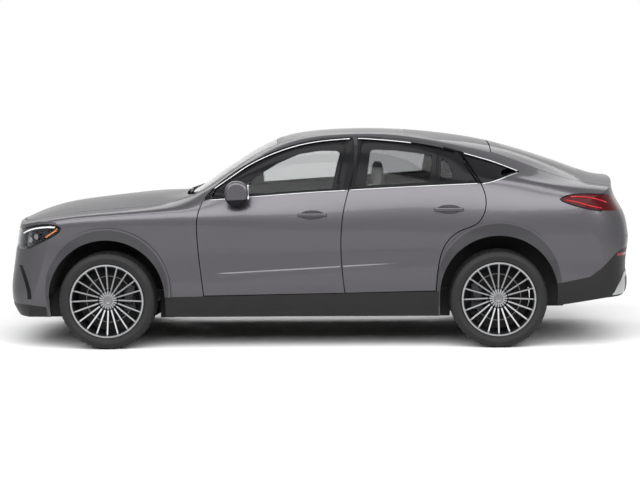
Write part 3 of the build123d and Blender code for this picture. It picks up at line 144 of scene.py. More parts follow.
def new_group(name: str, inputs: dict[str, tuple[str, Any]], outputs: dict[str, str]) -> tuple[Graph, Any, Any]:
    """Start a shader node group that takes a vector and other named sockets.

    Args:
        name: the group's name.
        inputs: socket type and default of each further input.
        outputs: socket type of each output.

    Returns:
        A graph to fill it, the sockets it starts from and those it ends in.
    """
    tree = bpy.data.node_groups.new(name, "ShaderNodeTree")
    for label, (kind, default) in {"Vector": (VECTOR, (0, 0, 0)), **inputs}.items():
        tree.interface.new_socket(label, in_out="INPUT", socket_type=kind).default_value = default
    for label, kind in outputs.items():
        tree.interface.new_socket(label, in_out="OUTPUT", socket_type=kind)
    graph = Graph(tree)
    return graph, graph.node("NodeGroupInput").outputs, graph.node("NodeGroupOutput").inputs


def grain_group() -> bpy.types.NodeTree:
    """Fine moulded grain: a height for bump and a mask for colour.

    Returns:
        The node group.
    """
    graph, start, end = new_group("moulded_grain", {"Size": (FLOAT, 900.0)}, {"Height": FLOAT, "Mask": FLOAT})
    place = start["Vector"]
    cells = graph.node("ShaderNodeTexVoronoi", {"feature": "SMOOTH_F1"}, Vector=place, Scale=start["Size"])
    broad = graph.node("ShaderNodeTexNoise", Vector=place, Scale=7.0, Detail=4.0)
    graph.join(cells.outputs["Distance"], end["Height"])
    graph.join(graph.steps(broad.outputs["Fac"], 0.35, 0.7), end["Mask"])
    return graph.tree


def flake_group() -> bpy.types.NodeTree:
    """Metal flakes in paint: a colour that sparkles and drifts a little.

    Returns:
        The node group.
    """
    takes = {"Colour": (COLOUR, (0.5, 0.5, 0.5, 1)), "Spread": (FLOAT, 0.1)}
    graph, start, end = new_group("metal_flake", takes, {"Colour": COLOUR})
    cells = graph.node("ShaderNodeTexVoronoi", Vector=start["Vector"], Scale=1400.0)
    drift = graph.node("ShaderNodeTexNoise", Vector=start["Vector"], Scale=2.2, Detail=2.0)
    spark = graph.node("ShaderNodeSeparateColor", Color=cells.outputs["Color"])
    lift = graph.math("MULTIPLY", graph.math("SUBTRACT", spark.outputs[0], 0.5), start["Spread"])
    cloud = graph.math("MULTIPLY", graph.math("SUBTRACT", drift.outputs["Fac"], 0.5), 0.05)
    value = graph.math("ADD", graph.math("ADD", lift, cloud), 1.0)
    tint = graph.node("ShaderNodeVectorMath", {"operation": "SCALE"}, i0=start["Colour"], i3=value)
    graph.join(tint.outputs[0], end["Colour"])
    return graph.tree


def dust_group() -> bpy.types.NodeTree:
    """Road dust that thickens towards the ground, as a mask.

    Returns:
        The node group.
    """
    graph, start, end = new_group("road_dust", {"Top": (FLOAT, 0.5), "Amount": (FLOAT, 0.2)}, {"Mask": FLOAT})
    noise = graph.node("ShaderNodeTexNoise", Vector=start["Vector"], Scale=9.0, Detail=8.0, Roughness=0.7)
    height = graph.steps(graph.split(start["Vector"])["Z"], start["Top"], 0.15)
    patchy = graph.math("MULTIPLY", height, graph.steps(noise.outputs["Fac"], 0.3, 0.75))
    graph.join(graph.math("MULTIPLY", patchy, start["Amount"]), end["Mask"])
    return graph.tree


class Effects:
    """The shared node groups, each built once."""

    grain = grain_group()
    flake = flake_group()
    dust = dust_group()


@dataclass(frozen=True)
class Finish:
    """A plain procedural finish: one colour with grain, dust and bump."""

    name: str
    colour: Point
    roughness: float = 0.5
    metallic: float = 0.0
    coat: float = 0.0
    coat_roughness: float = 0.05
    grain_size: float = 900.0
    bump: float = 0.05
    patch: float = 0.06
    mottle: float = 0.06
    dust: float = 0.0
    dust_top: float = 0.45
    specular: float = 0.5
    edge: Point = (1.0, 1.0, 1.0)

    def material(self) -> bpy.types.Material:
        """Build the finish's material, once.

        Returns:
            The material.
        """
        label = f"finish_{self.name}"
        if label in bpy.data.materials:
            return bpy.data.materials[label]
        made = bpy.data.materials.new(label)
        made.use_nodes = True
        graph = Graph(made.node_tree)
        shader = made.node_tree.nodes["Principled BSDF"]
        place = graph.node("ShaderNodeTexCoord").outputs["Object"]
        shader.inputs["Metallic"].default_value = self.metallic
        shader.inputs["Specular IOR Level"].default_value = self.specular
        shader.inputs["Specular Tint"].default_value = self.edge + (1.0,)
        shader.inputs["Coat Weight"].default_value = self.coat
        shader.inputs["Coat Roughness"].default_value = self.coat_roughness
        self.dress(graph, shader, place)
        return made

    def base(self, graph: Graph, place: Socket) -> tuple[Socket, Any]:
        """Colour with broad patches, and the grain behind it.

        Args:
            graph: the material's graph.
            place: Object coordinates.

        Returns:
            The colour socket and the grain group's outputs.
        """
        grain = graph.group(Effects.grain, Vector=place, Size=self.grain_size)
        dark = tuple(c * (1 - self.patch) for c in self.colour) + (1.0,)
        light = tuple(min(1.0, c * (1 + self.patch)) for c in self.colour) + (1.0,)
        return graph.mix(grain["Mask"], dark, light), grain

    def roughen(self, graph: Graph, shader: Node, height: Socket) -> None:
        """Join the grain's bump to the shader."""
        bump = graph.node("ShaderNodeBump", Height=height, Strength=self.bump, Distance=BUMP_DEPTH)
        graph.join(bump.outputs["Normal"], shader.inputs["Normal"])

    def dress(self, graph: Graph, shader: Node, place: Socket) -> None:
        """Join colour, roughness and bump to the shader.

        Args:
            graph: the material's graph.
            shader: its Principled shader.
            place: Object coordinates.
        """
        colour, grain = self.base(graph, place)
        mottle = graph.math("MULTIPLY", grain["Mask"], self.mottle)
        rough = graph.math("ADD", mottle, self.roughness - self.mottle / 2)
        if self.dust:
            mask = graph.group(Effects.dust, Vector=place, Top=self.dust_top, Amount=self.dust)["Mask"]
            colour = graph.mix(mask, colour, DUST_TONE)
            rough = graph.math("ADD", rough, graph.math("MULTIPLY", mask, DUST_ROUGHNESS))
        graph.join(colour, shader.inputs["Base Color"])
        graph.join(rough, shader.inputs["Roughness"])
        if self.bump:
            self.roughen(graph, shader, grain["Height"])


@dataclass(frozen=True)
class Paint(Finish):
    """Metallic car paint under a clear coat, with black bands and, where asked, painted shade that darkens the
    wheel-arch flares.
    """

    trim: Callable[[Graph, Socket], Socket] | None = None
    trim_colour: Point = (0.010, 0.010, 0.011)
    # whether the wheel-arch flares get painted shade
    paints_flare_shade: bool = False
    # share of the paint's colour kept on the flares, a painted shade
    painted_shade_factor: float = 0.58
    sparkle: float = 0.22
    trim_gloss: float = 0.2

    def dress(self, graph: Graph, shader: Node, place: Socket) -> None:
        """Join flakes, dust, any dark trim and any painted shade on the flares to the shader."""
        body = self.colour + (1.0,)
        flake = graph.group(Effects.flake, Vector=place, Colour=body, Spread=self.sparkle)
        mask = graph.group(Effects.dust, Vector=place, Top=self.dust_top, Amount=self.dust)["Mask"]
        colour = graph.mix(mask, flake["Colour"], DUST_TONE)
        rough = graph.math("ADD", graph.math("MULTIPLY", mask, DUST_ROUGHNESS), self.roughness)
        metal = graph.math("SUBTRACT", self.metallic, mask)
        # painted shade: the flares are darkened as if they faced away from the light
        if self.paints_flare_shade:
            lip = tuple(c * self.painted_shade_factor for c in self.colour) + (1.0,)
            colour = graph.mix(painted_shade_flare_mask(graph, place), colour, lip)
        if self.trim:
            dark = self.trim(graph, place)
            colour = graph.mix(dark, colour, self.trim_colour + (1.0,))
            light = graph.math("SUBTRACT", 1.0, dark)
            metal = graph.math("MULTIPLY", metal, light)
            graph.join(graph.math("MULTIPLY", light, self.coat), shader.inputs["Coat Weight"])
            rough = graph.math("SUBTRACT", rough, graph.math("MULTIPLY", dark, self.trim_gloss))
        graph.join(colour, shader.inputs["Base Color"])
        graph.join(rough, shader.inputs["Roughness"])
        graph.join(metal, shader.inputs["Metallic"])


@dataclass(frozen=True)
class Glass(Finish):
    """Tinted pane."""

    tint: Point = (0.8, 0.82, 0.82)
    bend: float = 1.2
    marks: Flat = (0.62, 0.9)
    mark_roughness: float = 0.006

    def dress(self, graph: Graph, shader: Node, place: Socket) -> None:
        """Set a see-through shader with faint wiping marks in its roughness."""
        noise = graph.node("ShaderNodeTexNoise", Vector=place, Scale=5.0, Detail=6.0)
        rough = graph.steps(noise.outputs["Fac"], *self.marks, 0.0, self.mark_roughness)
        graph.join(rough, shader.inputs["Roughness"])
        shader.inputs["Base Color"].default_value = self.tint + (1.0,)
        shader.inputs["Transmission Weight"].default_value = 1.0
        shader.inputs["IOR"].default_value = self.bend


def above_line(graph: Graph, place: Socket, points: Line) -> Socket:
    """Mask of what lies above a side-view line.

    Args:
        graph: the material's graph.
        place: Object coordinates.
        points: (x, z) along the line in metres, rear to front.

    Returns:
        The mask's output socket.
    """
    spot = graph.split(place)
    level: Any = points[0][1]
    for (x0, z0), (x1, z1) in zip(points, points[1:]):
        level = graph.math("ADD", graph.steps(spot["X"], x0, x1, 0.0, z1 - z0), level)
    return graph.steps(graph.math("SUBTRACT", spot["Z"], level), -LINE_SOFT, LINE_SOFT)


# centres and radius of the flare rounds where the painted shade falls
FLARE_CENTRES: Line = ((FRONT_AXLE, 0.428), (REAR_AXLE, 0.460))
FLARE_RADIUS = 0.459
FLARE_SOFT = 0.002
QUARTER_SPAN: Flat = (-1.51, -0.95)
MIRROR_LINE: Line = ((0.40, 1.118), (0.70, 1.105))
BELT_LINE: Line = (
    (-1.56, 1.300), (-1.50, 1.280), (-1.42, 1.262), (-1.30, 1.220), (-1.225, 1.210), (-0.93, 1.202),
    (-0.56, 1.186), (-0.20, 1.168), (0.05, 1.155), (0.49, 1.124), (0.785, 1.104), (0.86, 1.085))
TOP_LINE: Line = (
    (-1.56, 1.272), (-1.49, 1.296), (-1.319, 1.364), (-1.20, 1.400), (-1.06, 1.444), (-0.94, 1.477),
    (-0.75, 1.512), (-0.56, 1.533), (-0.37, 1.547), (-0.23, 1.547))


def door_frame_mask(graph: Graph, place: Socket) -> Socket:
    """Black window frame of a door: all above the belt."""
    return above_line(graph, place, BELT_LINE)


def quarter_mask(graph: Graph, place: Socket) -> Socket:
    """Black surround of the quarter pane on the body side."""
    low = above_line(graph, place, BELT_LINE)
    high = graph.math("SUBTRACT", 1.0, above_line(graph, place, TOP_LINE))
    x = graph.split(place)["X"]
    ahead, behind = (graph.math(way, x, at) for way, at in zip(("GREATER_THAN", "LESS_THAN"), QUARTER_SPAN))
    return graph.math("MULTIPLY", graph.math("MULTIPLY", low, high), graph.math("MULTIPLY", ahead, behind))


def painted_shade_flare_mask(graph: Graph, place: Socket) -> Socket:
    """Rounds of the wheel-arch flares in side view, where the paint is darkened as painted shade."""
    total: Any = 0.0
    for x, z in FLARE_CENTRES:
        away = graph.reach(place, x, z)[2]
        within = graph.steps(away, FLARE_RADIUS, FLARE_RADIUS + FLARE_SOFT, 1.0, 0.0)
        total = graph.math("MAXIMUM", total, within)
    return total


def mirror_mask(graph: Graph, place: Socket) -> Socket:
    """Black lower half of a door mirror."""
    return graph.math("SUBTRACT", 1.0, above_line(graph, place, MIRROR_LINE))


@dataclass(frozen=True)
class WheelFinish(Finish):
    """Alloy with diamond-cut spoke faces and lip, dark everywhere else."""

    dark: Point = (0.016, 0.016, 0.017)
    dark_roughness: float = 0.5
    axle: float = 0.0
    spokes: int = 20
    spoke_half: float = 0.0046
    spoke_soft: float = 0.0012
    lip: float = 0.2600
    lip_soft: float = 0.001
    facing: Flat = (0.30, 0.75)

    def dress(self, graph: Graph, shader: Node, place: Socket) -> None:
        """Blend the two tones by the surface's own outward tilt and its place on the wheel."""
        colour, grain = self.base(graph, place)
        tilt = graph.split(graph.node("ShaderNodeTexCoord").outputs["Normal"])
        face = graph.steps(graph.math("ABSOLUTE", tilt["Y"]), *self.facing)
        ahead, above, away = graph.reach(place, self.axle, HUB_HEIGHT)
        pitch = math.tau / self.spokes
        turn = graph.math("DIVIDE", graph.math("ARCTAN2", above, ahead), pitch)
        off = graph.math("MULTIPLY", graph.math("PINGPONG", turn, 0.5), pitch)
        aside = graph.math("MULTIPLY", off, away)
        slim = graph.steps(aside, self.spoke_half, self.spoke_half + self.spoke_soft, 1.0, 0.0)
        edge = graph.steps(away, self.lip, self.lip + self.lip_soft)
        face = graph.math("MULTIPLY", face, graph.math("MAXIMUM", edge, slim))
        graph.join(graph.mix(face, self.dark + (1.0,), colour), shader.inputs["Base Color"])
        rough = graph.steps(face, 0.0, 1.0, self.dark_roughness, self.roughness)
        graph.join(rough, shader.inputs["Roughness"])
        self.roughen(graph, shader, grain["Height"])


SILVER: Point = (0.073, 0.070, 0.0765)
COATED: dict[str, Any] = {"roughness": 0.33, "metallic": 0.85, "coat": 0.35, "coat_roughness": 0.08,
                          "specular": 0.05, "edge": (0.45, 0.45, 0.45)}
WHITE: Point = (1, 1, 1)
ALLOY: Point = (0.25, 0.253, 0.26)


class Finishes:
    """Every finish on the vehicle."""

    paint = Paint("silver_paint", SILVER, dust=0.10, **COATED)
    # fender_paint and side_paint carry painted shade on the wheel-arch flares
    fender_paint = Paint("fender_paint", SILVER, dust=0.10, paints_flare_shade=True, **COATED)
    door_paint = Paint("door_paint", SILVER, dust=0.10, trim=door_frame_mask, **COATED)
    side_paint = Paint("side_paint", SILVER, dust=0.10, trim=quarter_mask, paints_flare_shade=True, **COATED)
    mirror_paint = Paint("mirror_paint", SILVER, trim=mirror_mask, **COATED)
    trim = Finish("dark_trim_plastic", (0.010, 0.010, 0.0105), 0.5, bump=0.25, dust=0.04, specular=0.2)
    gloss_black = Finish("gloss_black", (0.008, 0.008, 0.009), 0.14, bump=0.0, specular=0.06)
    liner = Finish("liner_felt", (0.008, 0.008, 0.008), 0.9, bump=0.6, grain_size=400, dust=0.1)
    clear = Glass("clear_glass", WHITE, tint=(0.69, 0.70, 0.70))
    privacy = Glass("privacy_glass", WHITE, tint=(0.50, 0.505, 0.51))
    rear_screen = Finish("rear_screen", (0.010, 0.010, 0.011), 0.16, bump=0.0, specular=0.1)
    lamp = Glass("lamp_lens", WHITE, tint=(0.95, 0.96, 0.97), specular=0.25)
    red_lens = Finish("red_lens", (0.050, 0.002, 0.0035), 0.2, bump=0.12, grain_size=160, specular=0.1)
    tyre = Finish("tyre_rubber", (0.009, 0.009, 0.0095), 0.65, bump=0.2, dust=0.03, specular=0.25)
    alloy_front = WheelFinish("satin_alloy_front", ALLOY, 0.5, 1.0, bump=0.03, axle=FRONT_AXLE)
    alloy_rear = WheelFinish("satin_alloy_rear", ALLOY, 0.5, 1.0, bump=0.03, axle=REAR_AXLE)
    disc = Finish("brake_iron", (0.20, 0.195, 0.19), 0.38, 1.0, bump=0.1)
    cast = Finish("cast_metal", (0.05, 0.05, 0.055), 0.55, 0.8, bump=0.4, grain_size=500, dust=0.2)
    exhaust = Finish("exhaust_steel", (0.42, 0.41, 0.40), 0.35, 1.0, dust=0.3)
    underbody = Finish("underbody_coat", (0.025, 0.025, 0.027), 0.6, bump=0.3, dust=0.2)
    cabin = Finish("cabin_plastic", (0.06, 0.06, 0.062), 0.55, bump=0.3)
    leather = Finish("seat_leather", (0.30, 0.295, 0.29), 0.45, bump=0.5, grain_size=650)
    satin = Finish("satin_trim", (0.30, 0.30, 0.31), 0.35, 1.0, bump=0.05)
    chrome = Finish("bright_trim", (0.38, 0.383, 0.39), 0.33, 1.0, bump=0.02)
    red_led = Finish("red_light_guide", (0.40, 0.008, 0.012), 0.18, bump=0.1, specular=0.25)
    reflector = Finish("red_reflector", (0.16, 0.010, 0.008), 0.2, bump=0.2, grain_size=250, specular=0.3)
    white_led = Finish("white_light_guide", (0.92, 0.93, 0.95), 0.2, coat=0.5, bump=0.1)
    amber = Finish("amber_lens", (0.42, 0.15, 0.045), 0.2, coat=0.2, bump=0.15, grain_size=200)
    mirror_glass = Finish("mirror_glass", (0.80, 0.81, 0.82), 0.02, 1.0, bump=0.0)
    cap = Finish("wheel_cap_silver", (0.16, 0.16, 0.165), 0.3, 1.0, bump=0.03)
    bolt = Finish("bolt_zinc", (0.30, 0.30, 0.31), 0.35, 1.0, bump=0.05)
    screen = Finish("dark_screen", (0.006, 0.006, 0.008), 0.06, bump=0.0, coat=1.0)


NODE_FINISHES: Sequence[tuple[Finish, str]] = (
    (Finishes.paint, "hood tailgate roof_panel"),
    (Finishes.fender_paint, "fenders front_bumper rear_bumper"),
    (Finishes.side_paint, "body_sides"),
    (Finishes.door_paint, "door_front_left door_front_right door_rear_left door_rear_right"),
    (Finishes.mirror_paint, "mirror_left mirror_right"),
    (Finishes.trim, "sill_trims front_skirt rear_skirt grille wipers"),
    (Finishes.liner, "arch_liners"),
    (Finishes.clear, "windshield glass_front_left glass_front_right"),
    (Finishes.privacy, "glass_rear_left glass_rear_right"),
    (Finishes.gloss_black, "quarter_glass roof_glass"),
    (Finishes.rear_screen, "tailgate_glass"),
    (Finishes.lamp, "headlamps"),
    (Finishes.red_lens, "tail_lamps tailgate_lamps"),
    (Finishes.tyre, "tyre_front_left tyre_front_right tyre_rear_left tyre_rear_right"),
    (Finishes.alloy_front, "rim_front_left rim_front_right"),
    (Finishes.alloy_rear, "rim_rear_left rim_rear_right"),
    (Finishes.disc, "brake_disc_front_left brake_disc_front_right brake_disc_rear_left brake_disc_rear_right"),
    (Finishes.cast, "knuckle_left knuckle_right front_subframe rear_axle engine"),
    (Finishes.exhaust, "exhaust"),
    (Finishes.underbody, "unibody"),
    (Finishes.cabin, "dashboard steering_wheel"),
    (Finishes.leather, "front_seats rear_seat"),
)


def dress(obj: Piece, finish: Finish) -> None:
    """Give an object one finish all over."""
    obj.data.materials.clear()
    obj.data.materials.append(finish.material())


def dress_frame() -> None:
    """Give every CAD node its finish."""
    for finish, names in NODE_FINISHES:
        for name in names.split():
            dress(NODES[name], finish)


class Bench:
    """Modelling steps that the pieces share, with the shares of a size that they work to."""

    drum_bevel = 0.12
    dish_rim = 0.22
    dish_wall = 0.12
    cushion_corner = 0.10
    cushion_crown = 0.26
    cushion_waist = 0.035
    seam_reach = 0.55
    seam_width = 0.035
    seam_deep = 0.10

    @staticmethod
    def clear() -> None:
        """Leave edit mode and deselect everything."""
        if bpy.context.object and bpy.context.object.mode != "OBJECT":
            bpy.ops.object.mode_set(mode="OBJECT")
        bpy.ops.object.select_all(action="DESELECT")

    @staticmethod
    def pick(obj: Piece) -> None:
        """Select one object alone, in object mode."""
        Bench.clear()
        obj.select_set(True)
        bpy.context.view_layer.objects.active = obj

    @staticmethod
    def settle(obj: Piece, name: str) -> None:
        """Name an object and put its place, turn and scale into its mesh."""
        Bench.pick(obj)
        bpy.ops.object.transform_apply(location=True, rotation=True, scale=True)
        obj.name = name
        obj.data.name = name

    @staticmethod
    def edit(obj: Piece) -> None:
        """Go into edit mode on one object with all of it selected."""
        Bench.pick(obj)
        bpy.ops.object.mode_set(mode="EDIT")
        bpy.ops.mesh.select_all(action="SELECT")

    @staticmethod
    def choose(obj: Piece, wanted: Callable[[bmesh.types.BMFace], bool]) -> None:
        """Select some faces of an object in edit mode, and nothing else."""
        bpy.ops.mesh.select_all(action="DESELECT")
        mesh = bmesh.from_edit_mesh(obj.data)
        for face in mesh.faces:
            face.select_set(wanted(face))
        bmesh.update_edit_mesh(obj.data)

    @staticmethod
    def smooth(obj: Piece, angle: float = 35.0) -> None:
        """Shade smooth below an angle in degrees."""
        Bench.pick(obj)
        bpy.ops.object.shade_smooth_by_angle(angle=math.radians(angle))

    @staticmethod
    def thicken(obj: Piece, thick: float) -> None:
        """Give a surface its thickness, inward."""
        Bench.pick(obj)
        shell = obj.modifiers.new("shell", "SOLIDIFY")
        shell.thickness = thick
        shell.offset = -1
        bpy.ops.object.modifier_apply(modifier="shell")

    @staticmethod
    def block(name: str, centre: Point, size: Point, bevel: float, turn: Point = (0, 0, 0)) -> Piece:
        """A bevelled block.

        Args:
            name: the piece's name.
            centre: its middle.
            size: its length along each axis.
            bevel: width of its rounded edges.
            turn: its turn about each axis in radians.

        Returns:
            The finished object.
        """
        Bench.clear()
        bpy.ops.mesh.primitive_cube_add(size=1, location=centre, rotation=turn)
        obj = bpy.context.object
        obj.scale = size
        Bench.settle(obj, name)
        Bench.edit(obj)
        bpy.ops.mesh.bevel(offset=bevel, segments=3, affect="EDGES")
        Bench.smooth(obj)
        return obj

    @staticmethod
    def drum(name: str, centre: Sequence[float], radius: float, depth: float, along: Point,
             dish: float = 0.0, sides: int = 40) -> Piece:
        """A bevelled drum whose outer end can be dished.

        Args:
            name: the piece's name.
            centre: its middle.
            radius: its radius.
            depth: its length.
            along: its axis, pointing out of the dished end.
            dish: how deep the outer end is pushed in.
            sides: how many sides it has.

        Returns:
            The finished object.
        """
        Bench.clear()
        turn = Vector(along).to_track_quat("Z", "Y").to_euler()
        bpy.ops.mesh.primitive_cylinder_add(vertices=sides, radius=radius, depth=depth, location=centre,
                                            rotation=turn)
        obj = bpy.context.object
        Bench.settle(obj, name)
        Bench.edit(obj)
        bpy.ops.mesh.bevel(offset=min(radius, depth) * Bench.drum_bevel, segments=2, affect="EDGES")
        if dish:
            bpy.ops.mesh.select_all(action="DESELECT")
            mesh = bmesh.from_edit_mesh(obj.data)
            for face in mesh.faces:
                face.select = len(face.verts) > 8 and face.normal.dot(Vector(along)) > 0.9
            bmesh.update_edit_mesh(obj.data)
            bpy.ops.mesh.inset(thickness=radius * Bench.dish_rim, depth=0)
            bpy.ops.mesh.inset(thickness=radius * Bench.dish_wall, depth=-dish)
        Bench.smooth(obj)
        return obj

    @staticmethod
    def tube(name: str, points: Sequence[Sequence[float]], radius: float) -> Piece:
        """A round bar along points, made from a path.

        Args:
            name: the piece's name.
            points: the path.
            radius: its radius.

        Returns:
            The finished mesh object.
        """
        Bench.clear()
        bpy.ops.curve.primitive_nurbs_path_add()
        obj = bpy.context.object
        obj.data.splines.clear()
        line = obj.data.splines.new("POLY")
        line.points.add(len(points) - 1)
        for place, point in zip(line.points, points):
            place.co = (*point, 1.0)
        obj.data.bevel_depth = radius
        obj.data.bevel_resolution = 3
        obj.data.use_fill_caps = True
        bpy.ops.object.convert(target="MESH")
        Bench.settle(bpy.context.object, name)
        Bench.smooth(bpy.context.object, 50)
        return bpy.context.object

    @staticmethod
    def skin_of(name: str, node: str, keep: Callable[[bmesh.types.BMFace], bool], thick: float) -> Piece:
        """A shell from chosen faces of a copy of a CAD node.

        Args:
            name: the piece's name.
            node: the CAD node.
            keep: says which faces stay.
            thick: the shell's thickness, inward.

        Returns:
            The finished object.
        """
        obj = Bench.copy(NODES[node], name, Vector((0, 0, 0)))
        obj.data.materials.clear()
        Bench.edit(obj)
        bpy.ops.mesh.remove_doubles(threshold=0.00002)
        bpy.ops.mesh.normals_make_consistent(inside=False)
        Bench.choose(obj, lambda face: not keep(face))
        bpy.ops.mesh.delete(type="FACE")
        Bench.thicken(obj, thick)
        Bench.smooth(obj)
        return obj

    @staticmethod
    def sheet(name: str, rows: Sequence[Spots], thick: float, outward: Point) -> Piece:
        """A thin plate through rows of points, with holes where a point is missing.

        Args:
            name: the piece's name.
            rows: equally long rows of points, None where there is no point.
            thick: the plate's thickness, inward.
            outward: roughly where its face looks.

        Returns:
            The finished object.
        """
        Bench.clear()
        across, along = len(rows[0]), len(rows)
        bpy.ops.mesh.primitive_grid_add(x_subdivisions=across - 1, y_subdivisions=along - 1, size=1)
        obj = bpy.context.object
        spots = [spot for row in rows for spot in row]
        for vertex, spot in zip(obj.data.vertices, spots):
            vertex.co = spot or (0, 0, 0)
        Bench.edit(obj)
        bpy.ops.mesh.select_all(action="DESELECT")
        mesh = bmesh.from_edit_mesh(obj.data)
        mesh.verts.ensure_lookup_table()
        for index, spot in enumerate(spots):
            mesh.verts[index].select_set(spot is None)
        bmesh.update_edit_mesh(obj.data)
        bpy.ops.mesh.delete(type="VERT")
        bpy.ops.mesh.select_all(action="SELECT")
        bpy.ops.mesh.remove_doubles(threshold=0.00005)
        bpy.ops.mesh.normals_make_consistent(inside=False)
        mesh = bmesh.from_edit_mesh(obj.data)
        if sum(face.normal.dot(Vector(outward)) for face in mesh.faces) < 0:
            bpy.ops.mesh.flip_normals()
        Bench.thicken(obj, thick)
        Bench.settle(obj, name)
        Bench.smooth(obj)
        return obj

    @staticmethod
    def cushion(name: str, centre: Point, size: Point, lean: float, face: int, channels: int) -> Piece:
        """A crowned cushion with sewn channels across its face.

        Args:
            name: the piece's name.
            centre: its middle.
            size: its length along each axis before it leans.
            lean: its turn about Y in radians.
            face: the axis its crowned face looks along, 0 or 2.
            channels: how many channels run along it.

        Returns:
            The finished object.
        """
        Bench.clear()
        bpy.ops.mesh.primitive_cube_add(size=2)
        obj = bpy.context.object
        Bench.edit(obj)
        bpy.ops.mesh.subdivide(number_cuts=23)
        Bench.clear()
        long = 2 - face
        seams = np.linspace(-Bench.seam_reach, Bench.seam_reach, channels)
        for vertex in obj.data.vertices:
            at = list(vertex.co)
            side, run = at[1], at[long]
            round_off = 1 - Bench.cushion_corner * (at[face] ** 4)
            crown = (1 - side ** 4) * (1 - run ** 4)
            groove = sum(math.exp(-((side - k) / Bench.seam_width) ** 2) for k in seams) * (at[face] > 0.9)
            at[face] *= 1 - Bench.cushion_crown * (1 - crown) - Bench.seam_deep * groove
            at[1] *= round_off * (1 - Bench.cushion_waist * (1 - run ** 2))
            at[long] *= round_off * (1 - Bench.cushion_waist * (1 - side ** 2))
            vertex.co = [v * h / 2 for v, h in zip(at, size)]
        obj.rotation_euler = (0, lean, 0)
        obj.location = centre
        Bench.settle(obj, name)
        soft = obj.modifiers.new("soft", "SUBSURF")
        soft.levels = soft.render_levels = 1
        bpy.ops.object.modifier_apply(modifier="soft")
        Bench.smooth(obj, 80)
        return obj

    @staticmethod
    def copy(obj: Piece, name: str, move: Vector) -> Piece:
        """Another of a piece with its own mesh, moved by a vector."""
        made = bpy.data.objects.new(name, obj.data.copy())
        bpy.context.scene.collection.objects.link(made)
        made.data.transform(Matrix.Translation(move))
        made.data.name = name
        return made


def mount(obj: Piece, body: str, slot: Slot, finish: Finish, *stands_for: str) -> None:
    """Finish a piece and hang it on its body.

    Args:
        obj: the piece.
        body: the CAD body it rides on.
        slot: its material slot; not used.
        finish: its finish.
        stands_for: CAD nodes it is shown in place of.
    """
    dress(obj, finish)
    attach(obj, body)
    if stands_for:
        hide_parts(*stands_for)
    LOG.info("%s on %s", obj.name, body)


class Skin:
    """Finds places on the skin of some CAD nodes."""

    beside = 3.0
    beyond = 4.0

    def __init__(self, *names: str) -> None:
        """Gather the nodes' faces."""
        points: list[Vector] = []
        faces: list[list[int]] = []
        for name in names:
            mesh = NODES[name].data
            first = len(points)
            points += [v.co.copy() for v in mesh.vertices]
            faces += [[first + i for i in face.vertices] for face in mesh.polygons]
        self.tree = BVHTree.FromPolygons(points, faces)

    def side(self, x: float, z: float, side: int, lift: float = 0.0) -> Vector | None:
        """Point on the left (1) or right (-1) skin at x and z, lifted off it."""
        hit, normal, _, _ = self.tree.ray_cast(Vector((x, side * self.beside, z)), Vector((0, -side, 0)))
        if hit is None:
            return None
        if normal.y * side < 0:
            normal = -normal
        return hit + normal * lift

    def end(self, y: float, z: float, ahead: int, lift: float = 0.0) -> Vector | None:
        """Point on the front (1) or rear (-1) skin at y and z, lifted off it."""
        hit, _, _, _ = self.tree.ray_cast(Vector((ahead * self.beyond, y, z)), Vector((-ahead, 0, 0)))
        return None if hit is None else hit + Vector((ahead * lift, 0, 0))

    def row(self, points: Line, side: int, lift: float, least: float = 0.0) -> Spots:
        """Points along a side-view line, with gaps.

        Args:
            points: the line.
            side: 1 for the left, -1 for the right.
            lift: how far they stand off the skin.
            least: the half-width that a point has to reach.

        Returns:
            The points, None where there is no such skin.
        """
        spots = [self.side(x, z, side, lift) for x, z in points]
        return [p if p and abs(p.y) > least else None for p in spots]

    def line(self, points: Line, side: int, lift: float, least: float = 0.0) -> list[Vector]:
        """The same points as row gives, without the gaps."""
        return [p for p in self.row(points, side, lift, least) if p]


def even_points(at: np.ndarray, count: int) -> list[Flat]:
    """Even points along a line of straight pieces."""
    along = np.concatenate(([0], np.cumsum(np.hypot(*np.diff(at, axis=0).T))))
    want = np.linspace(0, along[-1], count)
    return [(float(np.interp(w, along, at[:, 0])), float(np.interp(w, along, at[:, 1]))) for w in want]


def smooth_line(points: Line, count: int) -> list[Flat]:
    """Even points along a smooth line through flat points.

    Args:
        points: the given points.
        count: how many come back.

    Returns:
        The even points.
    """
    at = np.array(points, float)
    for _ in range(3):
        cut = [at[0]]
        for a, b in zip(at, at[1:]):
            cut += [a * 0.75 + b * 0.25, a * 0.25 + b * 0.75]
        at = np.array(cut + [at[-1]])
    return even_points(at, count)


